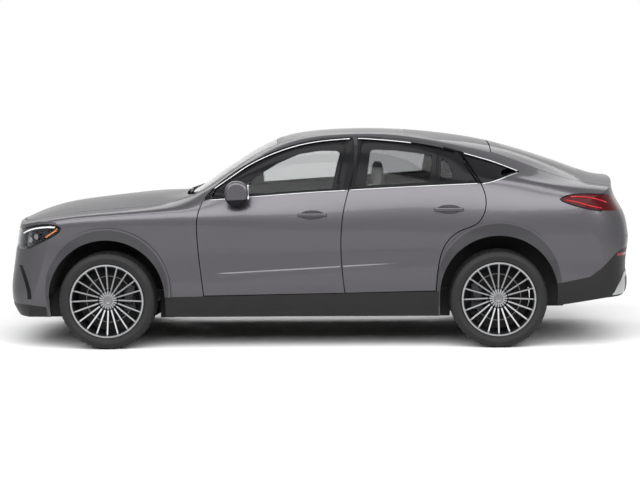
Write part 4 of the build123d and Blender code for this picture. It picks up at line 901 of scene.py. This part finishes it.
@dataclass
class WindowTrim:
    """Bright strips round the side windows, split where the doors part, and the rear panes' dark bars."""

    radius: float = 0.0042
    lift: float = 0.0004
    belt: Sequence[Line] = (
        ((0.770, 1.100), (0.486, 1.121), (0.054, 1.152), (-0.222, 1.165)),
        ((-0.262, 1.168), (-0.559, 1.183), (-0.932, 1.199), (-1.190, 1.208)),
        ((-1.228, 1.207), (-1.300, 1.217), (-1.420, 1.258), (-1.494, 1.277)))
    roof: Sequence[Line] = (
        ((0.742, 1.182), (0.535, 1.329), (0.343, 1.423), (0.153, 1.488), (-0.038, 1.524), (-0.296, 1.541)),
        ((-0.318, 1.539), (-0.374, 1.538), (-0.563, 1.522), (-0.752, 1.500), (-0.941, 1.464), (-1.066, 1.429)),
        ((-1.104, 1.424), (-1.200, 1.396), (-1.319, 1.361), (-1.494, 1.292)))
    bar: Line = ((-0.914, 1.462), (-0.902, 1.33), (-0.889, 1.206))
    bar_radius: float = 0.008
    bar_lift: float = 0.004
    slack: float = 0.002

    def evened(self, points: list[Vector], side: int) -> list[Vector]:
        """Points drawn out to one smooth line, so that none falls into a pane's slot.

        Args:
            points: points on the skin along a strip.
            side: 1 for the left, -1 for the right.

        Returns:
            The points, each at the line's own reach.
        """
        along = np.array([p.x for p in points])
        out = np.array([abs(p.y) for p in points])
        keep = np.full(len(points), True)
        fit = out
        for _ in range(5):
            fit = np.polyval(np.polyfit(along[keep], out[keep], 4), along)
            keep = out > fit - self.slack
        return [Vector((p.x, side * max(f, abs(p.y)), p.z)) for p, f in zip(points, fit)]

    def strip(self, name: str, line: Line, node: str, side: int, body: str) -> None:
        """Lay one strip on the skin.

        Args:
            name: the piece's name.
            line: its side-view line.
            node: the CAD node it lies on.
            side: 1 for the left, -1 for the right.
            body: the CAD body it rides on.
        """
        points = self.evened(Skin(node).line(smooth_line(line, 30), side, self.lift), side)
        mount(Bench.tube(name, points, self.radius), body, Slot.WHEEL_SILVER, Finishes.chrome)

    def build(self) -> None:
        """Lay every strip and bar, both sides."""
        for name, side in SIDES:
            front, rear = f"door_front_{name}", f"door_rear_{name}"
            for kind, lines in (("belt", self.belt), ("roof", self.roof)):
                self.strip(f"{kind}_strip_front_{name}", lines[0], front, side, front)
                self.strip(f"{kind}_strip_rear_{name}", lines[1], rear, side, rear)
                self.strip(f"{kind}_strip_quarter_{name}", lines[2], "body_sides", side, "body")
            bar = Skin(f"glass_rear_{name}").line(smooth_line(self.bar, 12), side, self.bar_lift)
            piece = Bench.tube(f"window_bar_{name}", bar, self.bar_radius)
            mount(piece, rear, Slot.DARK_TRIM, Finishes.gloss_black)


@dataclass
class WindowFrames:
    """Black bands of the door frames round what shows of each pane."""

    lift: float = 0.0016
    thick: float = 0.0012
    least: float = 0.6
    count: int = 120
    front: Sequence[Line] = (
        ((0.755, 1.110), (0.486, 1.128), (0.054, 1.159), (-0.204, 1.171), (-0.282, 1.534), (-0.160, 1.530),
         (-0.038, 1.518), (0.153, 1.482), (0.343, 1.417), (0.535, 1.323), (0.735, 1.180)),
        ((0.560, 1.140), (0.337, 1.152), (0.090, 1.168), (-0.125, 1.180), (-0.158, 1.339), (-0.183, 1.432),
         (-0.164, 1.450), (-0.040, 1.452), (0.116, 1.429), (0.273, 1.363), (0.440, 1.265), (0.560, 1.180)))
    rear: Sequence[Line] = (
        ((-0.240, 1.175), (-0.559, 1.189), (-0.895, 1.203), (-0.916, 1.466), (-0.752, 1.500), (-0.563, 1.520),
         (-0.374, 1.534), (-0.322, 1.536)),
        ((-0.375, 1.199), (-0.600, 1.210), (-0.838, 1.222), (-0.867, 1.410), (-0.760, 1.428), (-0.599, 1.450),
         (-0.434, 1.458), (-0.408, 1.444)))
    vent: Sequence[Line] = (
        ((-0.893, 1.203), (-1.188, 1.213), (-1.064, 1.430), (-0.941, 1.464), (-0.914, 1.467)),
        ((-0.918, 1.226), (-1.001, 1.235), (-1.012, 1.287), (-0.976, 1.362), (-0.936, 1.390)))

    def ring(self, name: str, loops: Sequence[Line], door: str, pane: str, side: int) -> None:
        """Lay one band on a door and its pane.

        Args:
            name: the piece's name.
            loops: its outer and inner outline.
            door: the door's node and body.
            pane: the pane's node.
            side: 1 for the left, -1 for the right.
        """
        skin = Skin(door, pane)
        outer, inner = (even_points(np.array([*loop, loop[0]], float), self.count + 1) for loop in loops)
        rows: list[Spots] = []
        for share in np.linspace(0, 1, 7):
            line = [(a[0] + (b[0] - a[0]) * share, a[1] + (b[1] - a[1]) * share) for a, b in zip(outer, inner)]
            rows.append(skin.row(line, side, self.lift, self.least))
        band = Bench.sheet(name, rows, self.thick, (0, side, 0.3))
        mount(band, door, Slot.DARK_TRIM, Finishes.gloss_black)

    def build(self) -> None:
        """Lay all bands."""
        for name, side in SIDES:
            front, rear = f"door_front_{name}", f"door_rear_{name}"
            self.ring(f"frame_front_{name}", self.front, front, f"glass_front_{name}", side)
            self.ring(f"frame_rear_{name}", self.rear, rear, f"glass_rear_{name}", side)
            self.ring(f"frame_vent_{name}", self.vent, rear, f"glass_rear_{name}", side)


@dataclass
class Creases:
    """Sharp light-catching line low on the doors."""

    line: Line = ((0.760, 0.553), (0.400, 0.573), (-0.203, 0.606), (-0.649, 0.626))
    section: Line = ((-0.030, -0.0006), (-0.012, 0.0022), (0.0, 0.0052), (0.006, 0.0030), (0.012, -0.0006))
    fade: float = 0.5
    least: float = 0.85
    thick: float = 0.0015

    def share(self, x: float) -> float:
        """How much of its full height the line has at x."""
        part = min(1.0, (x - self.line[-1][0]) / self.fade, (self.line[0][0] - x) / self.fade * 3)
        return max(part, 0.02)

    def build(self) -> None:
        """Raise the line on both doors of each side."""
        points = smooth_line(self.line, 140)
        for name, side in SIDES:
            for door in (f"door_front_{name}", f"door_rear_{name}"):
                skin = Skin(door)
                rows: list[Spots] = []
                for rise, lift in self.section:
                    row = [skin.side(x, z + rise, side, lift * self.share(x)) for x, z in points]
                    rows.append([p if p and abs(p.y) > self.least else None for p in row])
                crease = Bench.sheet(f"crease_{door}", rows, self.thick, (0, side, 0))
                mount(crease, door, Slot.PAINT, Finishes.paint)


@dataclass
class Headlamps:
    """Clear lens over a dark bucket with projectors, a light guide and an amber corner."""

    wall: float = 0.003
    bucket_wall: float = 0.002
    outward: float = 0.08
    least: float = 0.45
    projectors: Line = ((2.125, 0.815), (2.075, 0.838))
    projector_deep: float = 0.020
    projector_radius: float = 0.021
    projector_long: float = 0.018
    projector_dish: float = 0.006
    projector_aim: Flat = (0.6, 0.8)
    guide: Line = ((2.190, 0.858), (2.116, 0.893), (2.001, 0.911), (1.925, 0.909))
    guide_deep: float = 0.010
    guide_radius: float = 0.0055
    corner: Line = ((1.902, 0.897), (1.945, 0.868), (1.995, 0.836))
    corner_deep: float = 0.014
    corner_radius: float = 0.007
    rim: Line = ((2.190, 0.886), (2.116, 0.914), (2.001, 0.931), (1.912, 0.928), (1.866, 0.903),
                 (1.898, 0.862), (2.004, 0.807), (2.140, 0.746))
    seal_sunk: float = 0.001
    seal_radius: float = 0.004

    def shell(self, name: str, side: int, outer: bool, thick: float) -> Piece:
        """A shell from the outer or the inner faces of one lamp.

        Args:
            name: the piece's name.
            side: 1 for the left, -1 for the right.
            outer: whether the faces that look outward are taken.
            thick: the shell's thickness.

        Returns:
            The shell.
        """
        def keep(face: bmesh.types.BMFace) -> bool:
            """Whether a face is one of them."""
            here = face.calc_center_median().y * side > 0
            return here and (face.normal.y * side > self.outward) == outer

        return Bench.skin_of(name, "headlamps", keep, thick)

    def bar(self, name: str, line: list[Vector], radius: float, finish: Finish) -> None:
        """Fit one lit bar below the lens."""
        mount(Bench.tube(name, line, radius), "body", Slot.LAMP_CLEAR, finish)

    def build(self) -> None:
        """Fit both lamps."""
        skin = Skin("headlamps")
        around = Skin("headlamps", "fenders", "front_bumper", "hood")
        for name, side in SIDES:
            lens = self.shell(f"headlamp_lens_{name}", side, True, self.wall)
            mount(lens, "body", Slot.LAMP_CLEAR, Finishes.lamp, "headlamps")
            bucket = self.shell(f"headlamp_bucket_{name}", side, False, self.bucket_wall)
            mount(bucket, "body", Slot.DARK_TRIM, Finishes.gloss_black)
            guide = skin.line(smooth_line(self.guide, 24), side, -self.guide_deep, self.least)
            self.bar(f"light_guide_{name}", guide, self.guide_radius, Finishes.white_led)
            amber = skin.line(smooth_line(self.corner, 12), side, -self.corner_deep, self.least)
            self.bar(f"turn_lamp_{name}", amber, self.corner_radius, Finishes.amber)
            aim = (self.projector_aim[0], self.projector_aim[1] * side, 0)
            for i, spot in enumerate(skin.line(self.projectors, side, -self.projector_deep, self.least)):
                lamp = Bench.drum(f"projector_{name}_{i}", spot, self.projector_radius, self.projector_long,
                                  aim, self.projector_dish)
                mount(lamp, "body", Slot.LAMP_CLEAR, Finishes.satin)
            seal = around.line(smooth_line(self.rim, 50), side, -self.seal_sunk, self.least)
            piece = Bench.tube(f"headlamp_seal_{name}", seal, self.seal_radius)
            mount(piece, "body", Slot.DARK_TRIM, Finishes.gloss_black)


@dataclass
class TailLamps:
    """Dark rims and light guides of the tail lamps."""

    sunk: float = 0.001
    least: float = 0.5
    rim_radius: float = 0.005
    guide_radius: float = 0.0045
    rim: Line = ((-2.120, 1.122), (-1.961, 1.130), (-1.849, 1.121), (-1.781, 1.092), (-1.831, 1.066),
                 (-1.971, 1.022), (-2.102, 1.001))
    guides: Sequence[Line] = (((-1.835, 1.085), (-1.920, 1.070), (-2.010, 1.040), (-2.100, 1.022)),
                              ((-1.870, 1.108), (-1.986, 1.106), (-2.080, 1.085), (-2.140, 1.060)))

    def build(self) -> None:
        """Fit both sides."""
        around = Skin("tail_lamps", "body_sides", "rear_bumper")
        lens = Skin("tail_lamps")
        for name, side in SIDES:
            rim = around.line(smooth_line(self.rim, 50), side, -self.sunk, self.least)
            piece = Bench.tube(f"tail_lamp_rim_{name}", rim, self.rim_radius)
            mount(piece, "body", Slot.DARK_TRIM, Finishes.gloss_black)
            for i, line in enumerate(self.guides):
                points = lens.line(smooth_line(line, 24), side, -self.sunk, self.least)
                guide = Bench.tube(f"tail_light_guide_{name}_{i}", points, self.guide_radius)
                mount(guide, "body", Slot.LAMP_RED, Finishes.red_led)


@dataclass
class EndTrim:
    """Bright lower lip, air slots, exhaust trims, reflectors, grille bars."""

    lip_heights: Flat = (0.292, 0.318)
    lip_half: float = 0.60
    plate_lift: float = 0.004
    plate_thick: float = 0.006
    slot_line: Line = ((2.205, 0.620), (2.165, 0.540), (2.128, 0.430), (2.128, 0.372))
    slot_half: float = 0.016
    slot_lift: float = 0.0015
    slot_least: float = 0.4
    slot_thick: float = 0.003
    outlet_in: float = 0.42
    outlet_search: Flat = (0.5, 0.915)
    outlet_edge: tuple[Flat, Flat] = ((-2.165, 0.352), (-2.285, 0.530))
    mouth_out: float = 0.68
    mouth_margin: float = 0.035
    mouth_lift: float = 0.0055
    mouth_thick: float = 0.004
    reflector_across: Flat = (0.66, 0.83)
    reflector_heights: Flat = (0.664, 0.686)
    reflector_lift: float = 0.003
    reflector_thick: float = 0.005
    bars: Sequence[float] = (0.45, 0.53, 0.61, 0.69)
    bar_half: float = 0.58
    bar_lift: float = 0.001
    bar_radius: float = 0.005
    least_x: float = 1.9

    def patch(self, name: str, skin: Skin, ahead: int, across: Sequence[float], heights: Flat, lift: float,
              thick: float) -> Piece:
        """Lay a plate on the front or rear skin.

        Args:
            name: the piece's name.
            skin: the skin it lies on.
            ahead: 1 for the front, -1 for the rear.
            across: its reach in y.
            heights: its reach in z.
            lift: how far its face stands off.
            thick: its thickness.

        Returns:
            The plate.
        """
        rows = [[skin.end(y, z, ahead, lift) for y in np.linspace(*across, 20)] for z in np.linspace(*heights, 7)]
        rows = [[p if p and p.x * ahead > self.least_x else None for p in row] for row in rows]
        return Bench.sheet(name, rows, thick, (ahead, 0, 0))

    def outlet(self, skin: Skin, side: int, margin: float, lift: float, limit: float = 1.0) -> list[Spots]:
        """Points of an exhaust trim, whose outer edge slants round the corner.

        Args:
            skin: the rear skin.
            side: 1 for the left, -1 for the right.
            margin: how far it is drawn in on all sides.
            lift: how far it stands off.
            limit: how far out it may reach.

        Returns:
            Rows of points from low to high.
        """
        (x0, z0), (x1, z1) = self.outlet_edge
        near = self.outlet_in + margin
        rows: list[Spots] = []
        for z in np.linspace(z0 + margin, z1 - margin, 8):
            far = x0 + (x1 - x0) * (z - z0) / (z1 - z0) - margin
            spots = [(y, skin.end(side * y, z, -1, lift)) for y in np.linspace(*self.outlet_search, 84)]
            reach = max([y for y, p in spots if p and p.x < far], default=near + 0.05)
            rows.append([skin.end(side * y, z, -1, lift) for y in np.linspace(near, min(reach, limit), 18)])
        return rows

    def build(self) -> None:
        """Fit front and rear."""
        front = Skin("front_skirt", "front_bumper", "grille")
        rear = Skin("rear_skirt", "rear_bumper")
        grille = Skin("grille")
        across = (-self.lip_half, self.lip_half)
        lip = self.patch("front_lip", front, 1, across, self.lip_heights, self.plate_lift, self.plate_thick)
        mount(lip, "body", Slot.WHEEL_SILVER, Finishes.chrome)
        for i, z in enumerate(self.bars):
            spots = (grille.end(y, z, 1, self.bar_lift) for y in np.linspace(-self.bar_half, self.bar_half, 40))
            points = [p for p in spots if p]
            if len(points) > 5:
                bar = Bench.tube(f"grille_bar_{i}", points, self.bar_radius)
                mount(bar, "body", Slot.WHEEL_SILVER, Finishes.satin)
        for name, side in SIDES:
            rows = self.outlet(rear, side, 0.0, self.plate_lift)
            plate = Bench.sheet(f"exhaust_trim_{name}", rows, self.plate_thick, (-1, 0, 0))
            mount(plate, "body", Slot.WHEEL_SILVER, Finishes.chrome)
            rows = self.outlet(rear, side, self.mouth_margin, self.mouth_lift, self.mouth_out)
            mouth = Bench.sheet(f"exhaust_mouth_{name}", rows, self.mouth_thick, (-1, 0, 0))
            mount(mouth, "body", Slot.DARK_TRIM, Finishes.trim)
            span = sorted(side * v for v in self.reflector_across)
            glow = self.patch(f"rear_reflector_{name}", rear, -1, span, self.reflector_heights,
                              self.reflector_lift, self.reflector_thick)
            mount(glow, "body", Slot.LAMP_RED, Finishes.reflector)
            line = smooth_line(self.slot_line, 24)
            rows = [front.row([(x + shift, z) for x, z in line], side, self.slot_lift, self.slot_least)
                    for shift in np.linspace(-self.slot_half, self.slot_half, 5)]
            slot = Bench.sheet(f"air_slot_{name}", rows, self.slot_thick, (0.5, side, 0))
            mount(slot, "body", Slot.DARK_TRIM, Finishes.gloss_black)


@dataclass
class Cabin:
    """Padded seats on their plinths, the dashboard's screen and the mirrors' glass."""

    front_y: float = 0.39
    rear_heads: Sequence[float] = (-0.36, 0.36)
    posts: Sequence[float] = (-0.05, 0.05)
    post_lean: float = -12
    post_radius: float = 0.006
    plinth_bevel: float = 0.012

    def pad(self, name: str, centre: Point, size: Point, lean: float, face: int, channels: int,
            *node: str) -> None:
        """Fit one cushion.

        Args:
            name: the piece's name.
            centre: its middle.
            size: its length along each axis.
            lean: its turn about Y in degrees.
            face: the axis its crowned face looks along.
            channels: how many sewn channels it has.
            node: the CAD node it stands for, if any.
        """
        obj = Bench.cushion(name, centre, size, math.radians(lean), face, channels)
        mount(obj, "body", Slot.SEAT_LEATHER, Finishes.leather, *node)

    def plinth(self, name: str, centre: Point, size: Point) -> None:
        """Fit the plain foot of a seat."""
        mount(Bench.block(name, centre, size, self.plinth_bevel), "body", Slot.CABIN_PLASTIC, Finishes.cabin)

    def post(self, name: str, centre: Point, long: float) -> None:
        """Fit one head-rest post, leaning back."""
        lean = math.radians(self.post_lean)
        along = (math.sin(lean), 0, math.cos(lean))
        post = Bench.drum(name, centre, self.post_radius, long, along, sides=16)
        mount(post, "body", Slot.WHEEL_SILVER, Finishes.chrome)

    def build(self) -> None:
        """Fit the cabin."""
        for name, side in SIDES:
            y = side * self.front_y
            self.pad(f"seat_base_{name}", (0.025, y, 0.500), (0.47, 0.46, 0.12), 5, 2, 4, "front_seats")
            self.pad(f"seat_back_{name}", (-0.350, y, 0.865), (0.115, 0.45, 0.56), -17, 0, 4)
            self.pad(f"head_rest_{name}", (-0.463, y, 1.250), (0.085, 0.25, 0.14), -8, 0, 2)
            self.plinth(f"seat_plinth_{name}", (0.02, y, 0.364), (0.40, 0.42, 0.156))
            for i, shift in enumerate(self.posts):
                self.post(f"head_post_{name}_{i}", (-0.452, y + shift, 1.165), 0.11)
            place, size = (0.483, side * 0.978, 1.165), (0.010, 0.082, 0.105)
            glass = Bench.block(f"mirror_glass_{name}", place, size, 0.004)
            mount(glass, f"door_front_{name}", Slot.DISC_STEEL, Finishes.mirror_glass)
        self.pad("rear_bench", (-0.800, 0, 0.535), (0.46, 1.16, 0.13), 4, 2, 7, "rear_seat")
        self.pad("rear_back", (-1.160, 0, 0.865), (0.115, 1.14, 0.52), -15, 0, 7)
        self.plinth("rear_plinth", (-0.80, 0, 0.378), (0.44, 1.12, 0.184))
        for i, y in enumerate(self.rear_heads):
            self.pad(f"rear_head_rest_{i}", (-1.240, y, 1.180), (0.075, 0.22, 0.11), -10, 0, 2)
            self.post(f"rear_head_post_{i}", (-1.228, y, 1.115), 0.09)
        tilt = (0, math.radians(-14), 0)
        screen = Bench.block("dash_screen", (0.588, 0, 1.010), (0.012, 0.27, 0.13), 0.004, tilt)
        mount(screen, "body", Slot.DARK_TRIM, Finishes.screen)


@dataclass
class Brakes:
    """Dust shields and calipers behind the wheels."""

    shield_y: float = 0.778
    shield_radius: float = 0.234
    shield_dish: float = -0.006
    shield_thick: float = 0.005
    shield_sides: int = 72
    caliper: Point = (0.160, 0.808, 0.405)
    caliper_size: Point = (0.066, 0.078, 0.150)
    caliper_turn: float = 0.25
    caliper_bevel: float = 0.010

    def build(self) -> None:
        """Fit all four brakes."""
        for place in WHEEL_PLACES:
            end, name = place.split("_")
            side = 1 if name == "left" else -1
            body, axle, back = (f"knuckle_{name}", FRONT_AXLE, -1) if end == "front" else ("body", REAR_AXLE, 1)
            hub, out = (axle, side * self.shield_y, HUB_HEIGHT), (0, side, 0)
            shield = Bench.drum(f"dust_shield_{place}", hub, self.shield_radius, self.shield_thick, out,
                                self.shield_dish, self.shield_sides)
            mount(shield, body, Slot.DARK_TRIM, Finishes.liner)
            spot = (axle + back * self.caliper[0], side * self.caliper[1], self.caliper[2])
            turn = (0, back * self.caliper_turn, 0)
            block = Bench.block(f"brake_caliper_{place}", spot, self.caliper_size, self.caliper_bevel, turn)
            mount(block, body, Slot.CAST_METAL, Finishes.cast)


@dataclass
class SplashFlaps:
    """Dark deflectors at the feet of the wheel wells, as (x0, x1, z0, z1, y)."""

    thick: float = 0.008
    bevel: float = 0.003
    spans: Sequence[tuple[float, float, float, float, float]] = (
        (1.895, 2.040, 0.200, 0.420, 0.545), (1.085, 1.190, 0.190, 0.400, 0.545),
        (-1.850, -1.690, 0.270, 0.500, 0.600), (-1.000, -0.890, 0.200, 0.400, 0.600))

    def build(self) -> None:
        """Hang four flaps on each side."""
        for name, side in SIDES:
            for i, (x0, x1, z0, z1, y) in enumerate(self.spans):
                middle, size = ((x0 + x1) / 2, side * y, (z0 + z1) / 2), (x1 - x0, self.thick, z1 - z0)
                flap = Bench.block(f"splash_flap_{i}_{name}", middle, size, self.bevel)
                mount(flap, "body", Slot.DARK_TRIM, Finishes.liner)


@dataclass
class Wheels:
    """Treaded tyres, wheel bolts and blank caps."""

    track_half: float = 0.811
    rim_radius: float = 0.2725
    tyre_radius: float = 0.361
    half_width: float = 0.125
    bolts: int = 5
    bolt_circle: float = 0.056
    bolt_radius: float = 0.0071
    bolt_long: float = 0.018
    bolt_dish: float = 0.004
    bolt_sunk: float = 0.010
    bolt_sides: int = 12
    cap_radius: float = 0.0325
    cap_thick: float = 0.008
    cap_dish: float = 0.002
    cap_stands: float = 0.001
    face: float = 0.058
    steps: int = 144
    grooves: Sequence[float] = (-0.052, -0.018, 0.018, 0.052)
    groove_half: Flat = (0.006, 0.004)
    groove_radius: Flat = (-0.0005, -0.008)
    bead: Line = ((-0.016, -0.016), (0.001, -0.013), (0.004, -0.008), (0.010, -0.004), (0.013, -0.006),
                  (0.028, -0.001), (0.045, 0.0), (0.047, -0.0015), (0.060, -0.004))
    shoulder: Line = ((-0.020, -0.010), (-0.010, -0.018), (-0.004, -0.032))
    lug_from: float = 0.058
    lug_deep: float = 0.012
    lug_every: int = 3
    lug_rise: float = 0.005

    def profile(self) -> list[Flat]:
        """Tyre section as (radius, width) points, a closed loop.

        Returns:
            The loop.
        """
        r0, r1, w = self.rim_radius, self.tyre_radius, self.half_width
        side = [(r0 + r, w + y) for r, y in self.bead] + [(r1 + r, w + y) for r, y in self.shoulder]
        top, bottom = (r1 + r for r in self.groove_radius)
        wide, slim = self.groove_half
        tread: list[Flat] = []
        for at in reversed(self.grooves):
            tread += [(top, at + wide), (bottom, at + slim), (bottom, at - slim), (top, at - wide)]
        return side + tread + [(r, -y) for r, y in reversed(side)]

    def lug(self, face: bmesh.types.BMFace) -> bool:
        """Whether a face of the tyre is the foot of a shoulder lug."""
        middle = face.calc_center_median()
        radius = math.hypot(middle.x, middle.z)
        turn = int((math.atan2(middle.x, middle.z) / math.tau + 1) * self.steps + 0.5)
        shoulder = abs(middle.y) > self.lug_from and radius > self.tyre_radius - self.lug_deep
        return shoulder and turn % self.lug_every == 0

    def tyre(self) -> Piece:
        """Spin one tyre about the Y axis at the origin.

        Returns:
            The tyre.
        """
        loop = self.profile()
        Bench.clear()
        bpy.ops.mesh.primitive_circle_add(vertices=len(loop), radius=0.1, fill_type="NOTHING")
        obj = bpy.context.object
        for vertex, (radius, width) in zip(obj.data.vertices, loop):
            vertex.co = (0.0, width, radius)
        Bench.edit(obj)
        bpy.ops.mesh.spin(steps=self.steps, angle=math.tau, center=(0, 0, 0), axis=(0, 1, 0))
        bpy.ops.mesh.select_all(action="SELECT")
        bpy.ops.mesh.remove_doubles(threshold=0.0001)
        bpy.ops.mesh.normals_make_consistent(inside=False)
        Bench.choose(obj, self.lug)
        bpy.ops.mesh.extrude_region_shrink_fatten(TRANSFORM_OT_shrink_fatten={"value": -self.lug_rise})
        Bench.settle(obj, "tyre_master")
        Bench.smooth(obj, 30)
        return obj

    def build(self) -> None:
        """Fit all four wheels."""
        tyre = self.tyre()
        for place in WHEEL_PLACES:
            side = 1 if place.endswith("left") else -1
            axle = FRONT_AXLE if "front" in place else REAR_AXLE
            hub, out = Vector((axle, side * self.track_half, HUB_HEIGHT)), (0, side, 0)
            body = f"wheel_{place}"
            mount(Bench.copy(tyre, f"tread_{place}", hub), body, Slot.TYRE, Finishes.tyre, f"tyre_{place}")
            cap_at = hub + Vector((0, side * (self.face + self.cap_stands), 0))
            cap = Bench.drum(f"wheel_cap_{place}", cap_at, self.cap_radius, self.cap_thick, out, self.cap_dish)
            mount(cap, body, Slot.WHEEL_SILVER, Finishes.cap)
            for i in range(self.bolts):
                angle = math.tau * i / self.bolts
                ahead, above = self.bolt_circle * math.cos(angle), self.bolt_circle * math.sin(angle)
                spot = hub + Vector((ahead, side * (self.face - self.bolt_sunk), above))
                bolt = Bench.drum(f"wheel_bolt_{place}_{i}", spot, self.bolt_radius, self.bolt_long, out,
                                  self.bolt_dish, self.bolt_sides)
                mount(bolt, body, Slot.DISC_STEEL, Finishes.bolt)
        bpy.data.objects.remove(tyre)


@dataclass
class Studio:
    """Camera at the photograph's place, floor, backdrop and lamps."""

    eye: Point = (-0.375, 13.508, 1.907)
    yaw: float = 0.026975
    pitch: float = 0.08728
    roll: float = -0.0088
    focal_px: float = 1723.0
    width_px: float = 640.0
    sensor_mm: float = 36.0
    floor_size: Flat = (15.0, 11.5)
    floor_middle: float = 0.75
    floor_tone: float = 0.85
    sky_light: float = 0.04
    sky_seen: float = 1.0
    lamps: Sequence[tuple[str, Point, Point, Flat, float]] = (
        ("top_box", (0.0, 2.2, 5.6), (0, 0.9, 0), (14.0, 1.5), 330.0),
        ("back_box", (0.0, -6.5, 6.0), (0, -5.0, 0), (22.0, 5.0), 950.0),
        ("front_box", (0.0, 7.0, 5.0), (0, 2.6, 0), (20.0, 5.6), 1550.0))

    def camera(self) -> None:
        """Place the camera."""
        data = bpy.data.cameras.new("photo_camera")
        data.sensor_width = self.sensor_mm
        data.lens = self.sensor_mm * self.focal_px / self.width_px
        data.clip_end = 200.0
        eye = bpy.data.objects.new("photo_camera", data)
        bpy.context.scene.collection.objects.link(eye)
        level = math.cos(self.pitch)
        ahead = Vector((math.sin(self.yaw) * level, -math.cos(self.yaw) * level, -math.sin(self.pitch)))
        right = ahead.cross(Vector((0, 0, 1))).normalized()
        up = right.cross(ahead)
        across = right * math.cos(self.roll) + up * math.sin(self.roll)
        above = up * math.cos(self.roll) - right * math.sin(self.roll)
        eye.matrix_world = Matrix((across, above, -ahead)).transposed().to_4x4()
        eye.location = self.eye
        bpy.context.scene.camera = eye

    def floor(self) -> None:
        """Lay the pale floor."""
        bpy.ops.object.select_all(action="DESELECT")
        bpy.ops.mesh.primitive_plane_add(size=1, location=(0, self.floor_middle, 0))
        floor = bpy.context.object
        floor.name = "studio_floor"
        floor.scale = (self.floor_size[0], self.floor_size[1], 1)
        bpy.ops.object.transform_apply(location=True, scale=True)
        made = bpy.data.materials.new("studio_floor")
        made.use_nodes = True
        graph = Graph(made.node_tree)
        nodes = made.node_tree.nodes
        nodes.remove(nodes["Principled BSDF"])
        matte = graph.node("ShaderNodeBsdfDiffuse", Color=(self.floor_tone,) * 3 + (1.0,))
        graph.join(matte.outputs[0], nodes["Material Output"].inputs["Surface"])
        floor.data.materials.append(made)

    def lamp(self, name: str, place: Point, aim: Point, size: Flat, power: float) -> None:
        """Hang one soft box.

        Args:
            name: the lamp's name.
            place: where it hangs.
            aim: the point it faces.
            size: its width and height.
            power: its power in watts.
        """
        data = bpy.data.lights.new(name, "AREA")
        data.shape = "RECTANGLE"
        data.size, data.size_y = size
        data.energy = power
        box = bpy.data.objects.new(name, data)
        bpy.context.scene.collection.objects.link(box)
        box.location = place
        box.rotation_euler = (Vector(aim) - Vector(place)).to_track_quat("-Z", "Y").to_euler()

    def world(self) -> None:
        """Set the white surroundings, dimmer for what they light than for what sees them."""
        world = bpy.data.worlds.new("studio_world")
        bpy.context.scene.world = world
        world.use_nodes = True
        graph = Graph(world.node_tree)
        sky = world.node_tree.nodes["Background"]
        path = graph.node("ShaderNodeLightPath")
        seen = graph.math("MAXIMUM", path.outputs["Is Camera Ray"], path.outputs["Is Transmission Ray"])
        seen = graph.math("MAXIMUM", seen, path.outputs["Is Glossy Ray"])
        sky.inputs["Color"].default_value = (1, 1, 1, 1)
        graph.join(graph.steps(seen, 0.0, 1.0, self.sky_light, self.sky_seen), sky.inputs["Strength"])

    def build(self) -> None:
        """Set the whole stage."""
        self.camera()
        self.floor()
        self.world()
        for lamp in self.lamps:
            self.lamp(*lamp)
        bpy.context.scene.view_settings.view_transform = "Standard"


def main() -> None:
    """Dress the frame, add the pieces and set the stage."""
    logging.basicConfig(level=logging.INFO)
    dress_frame()
    for piece in (WindowTrim(), WindowFrames(), Creases(), Headlamps(), TailLamps(), EndTrim(), Cabin(),
                  Brakes(), SplashFlaps(), Wheels()):
        piece.build()
    Studio().build()


if __name__ == "__main__":
    main()
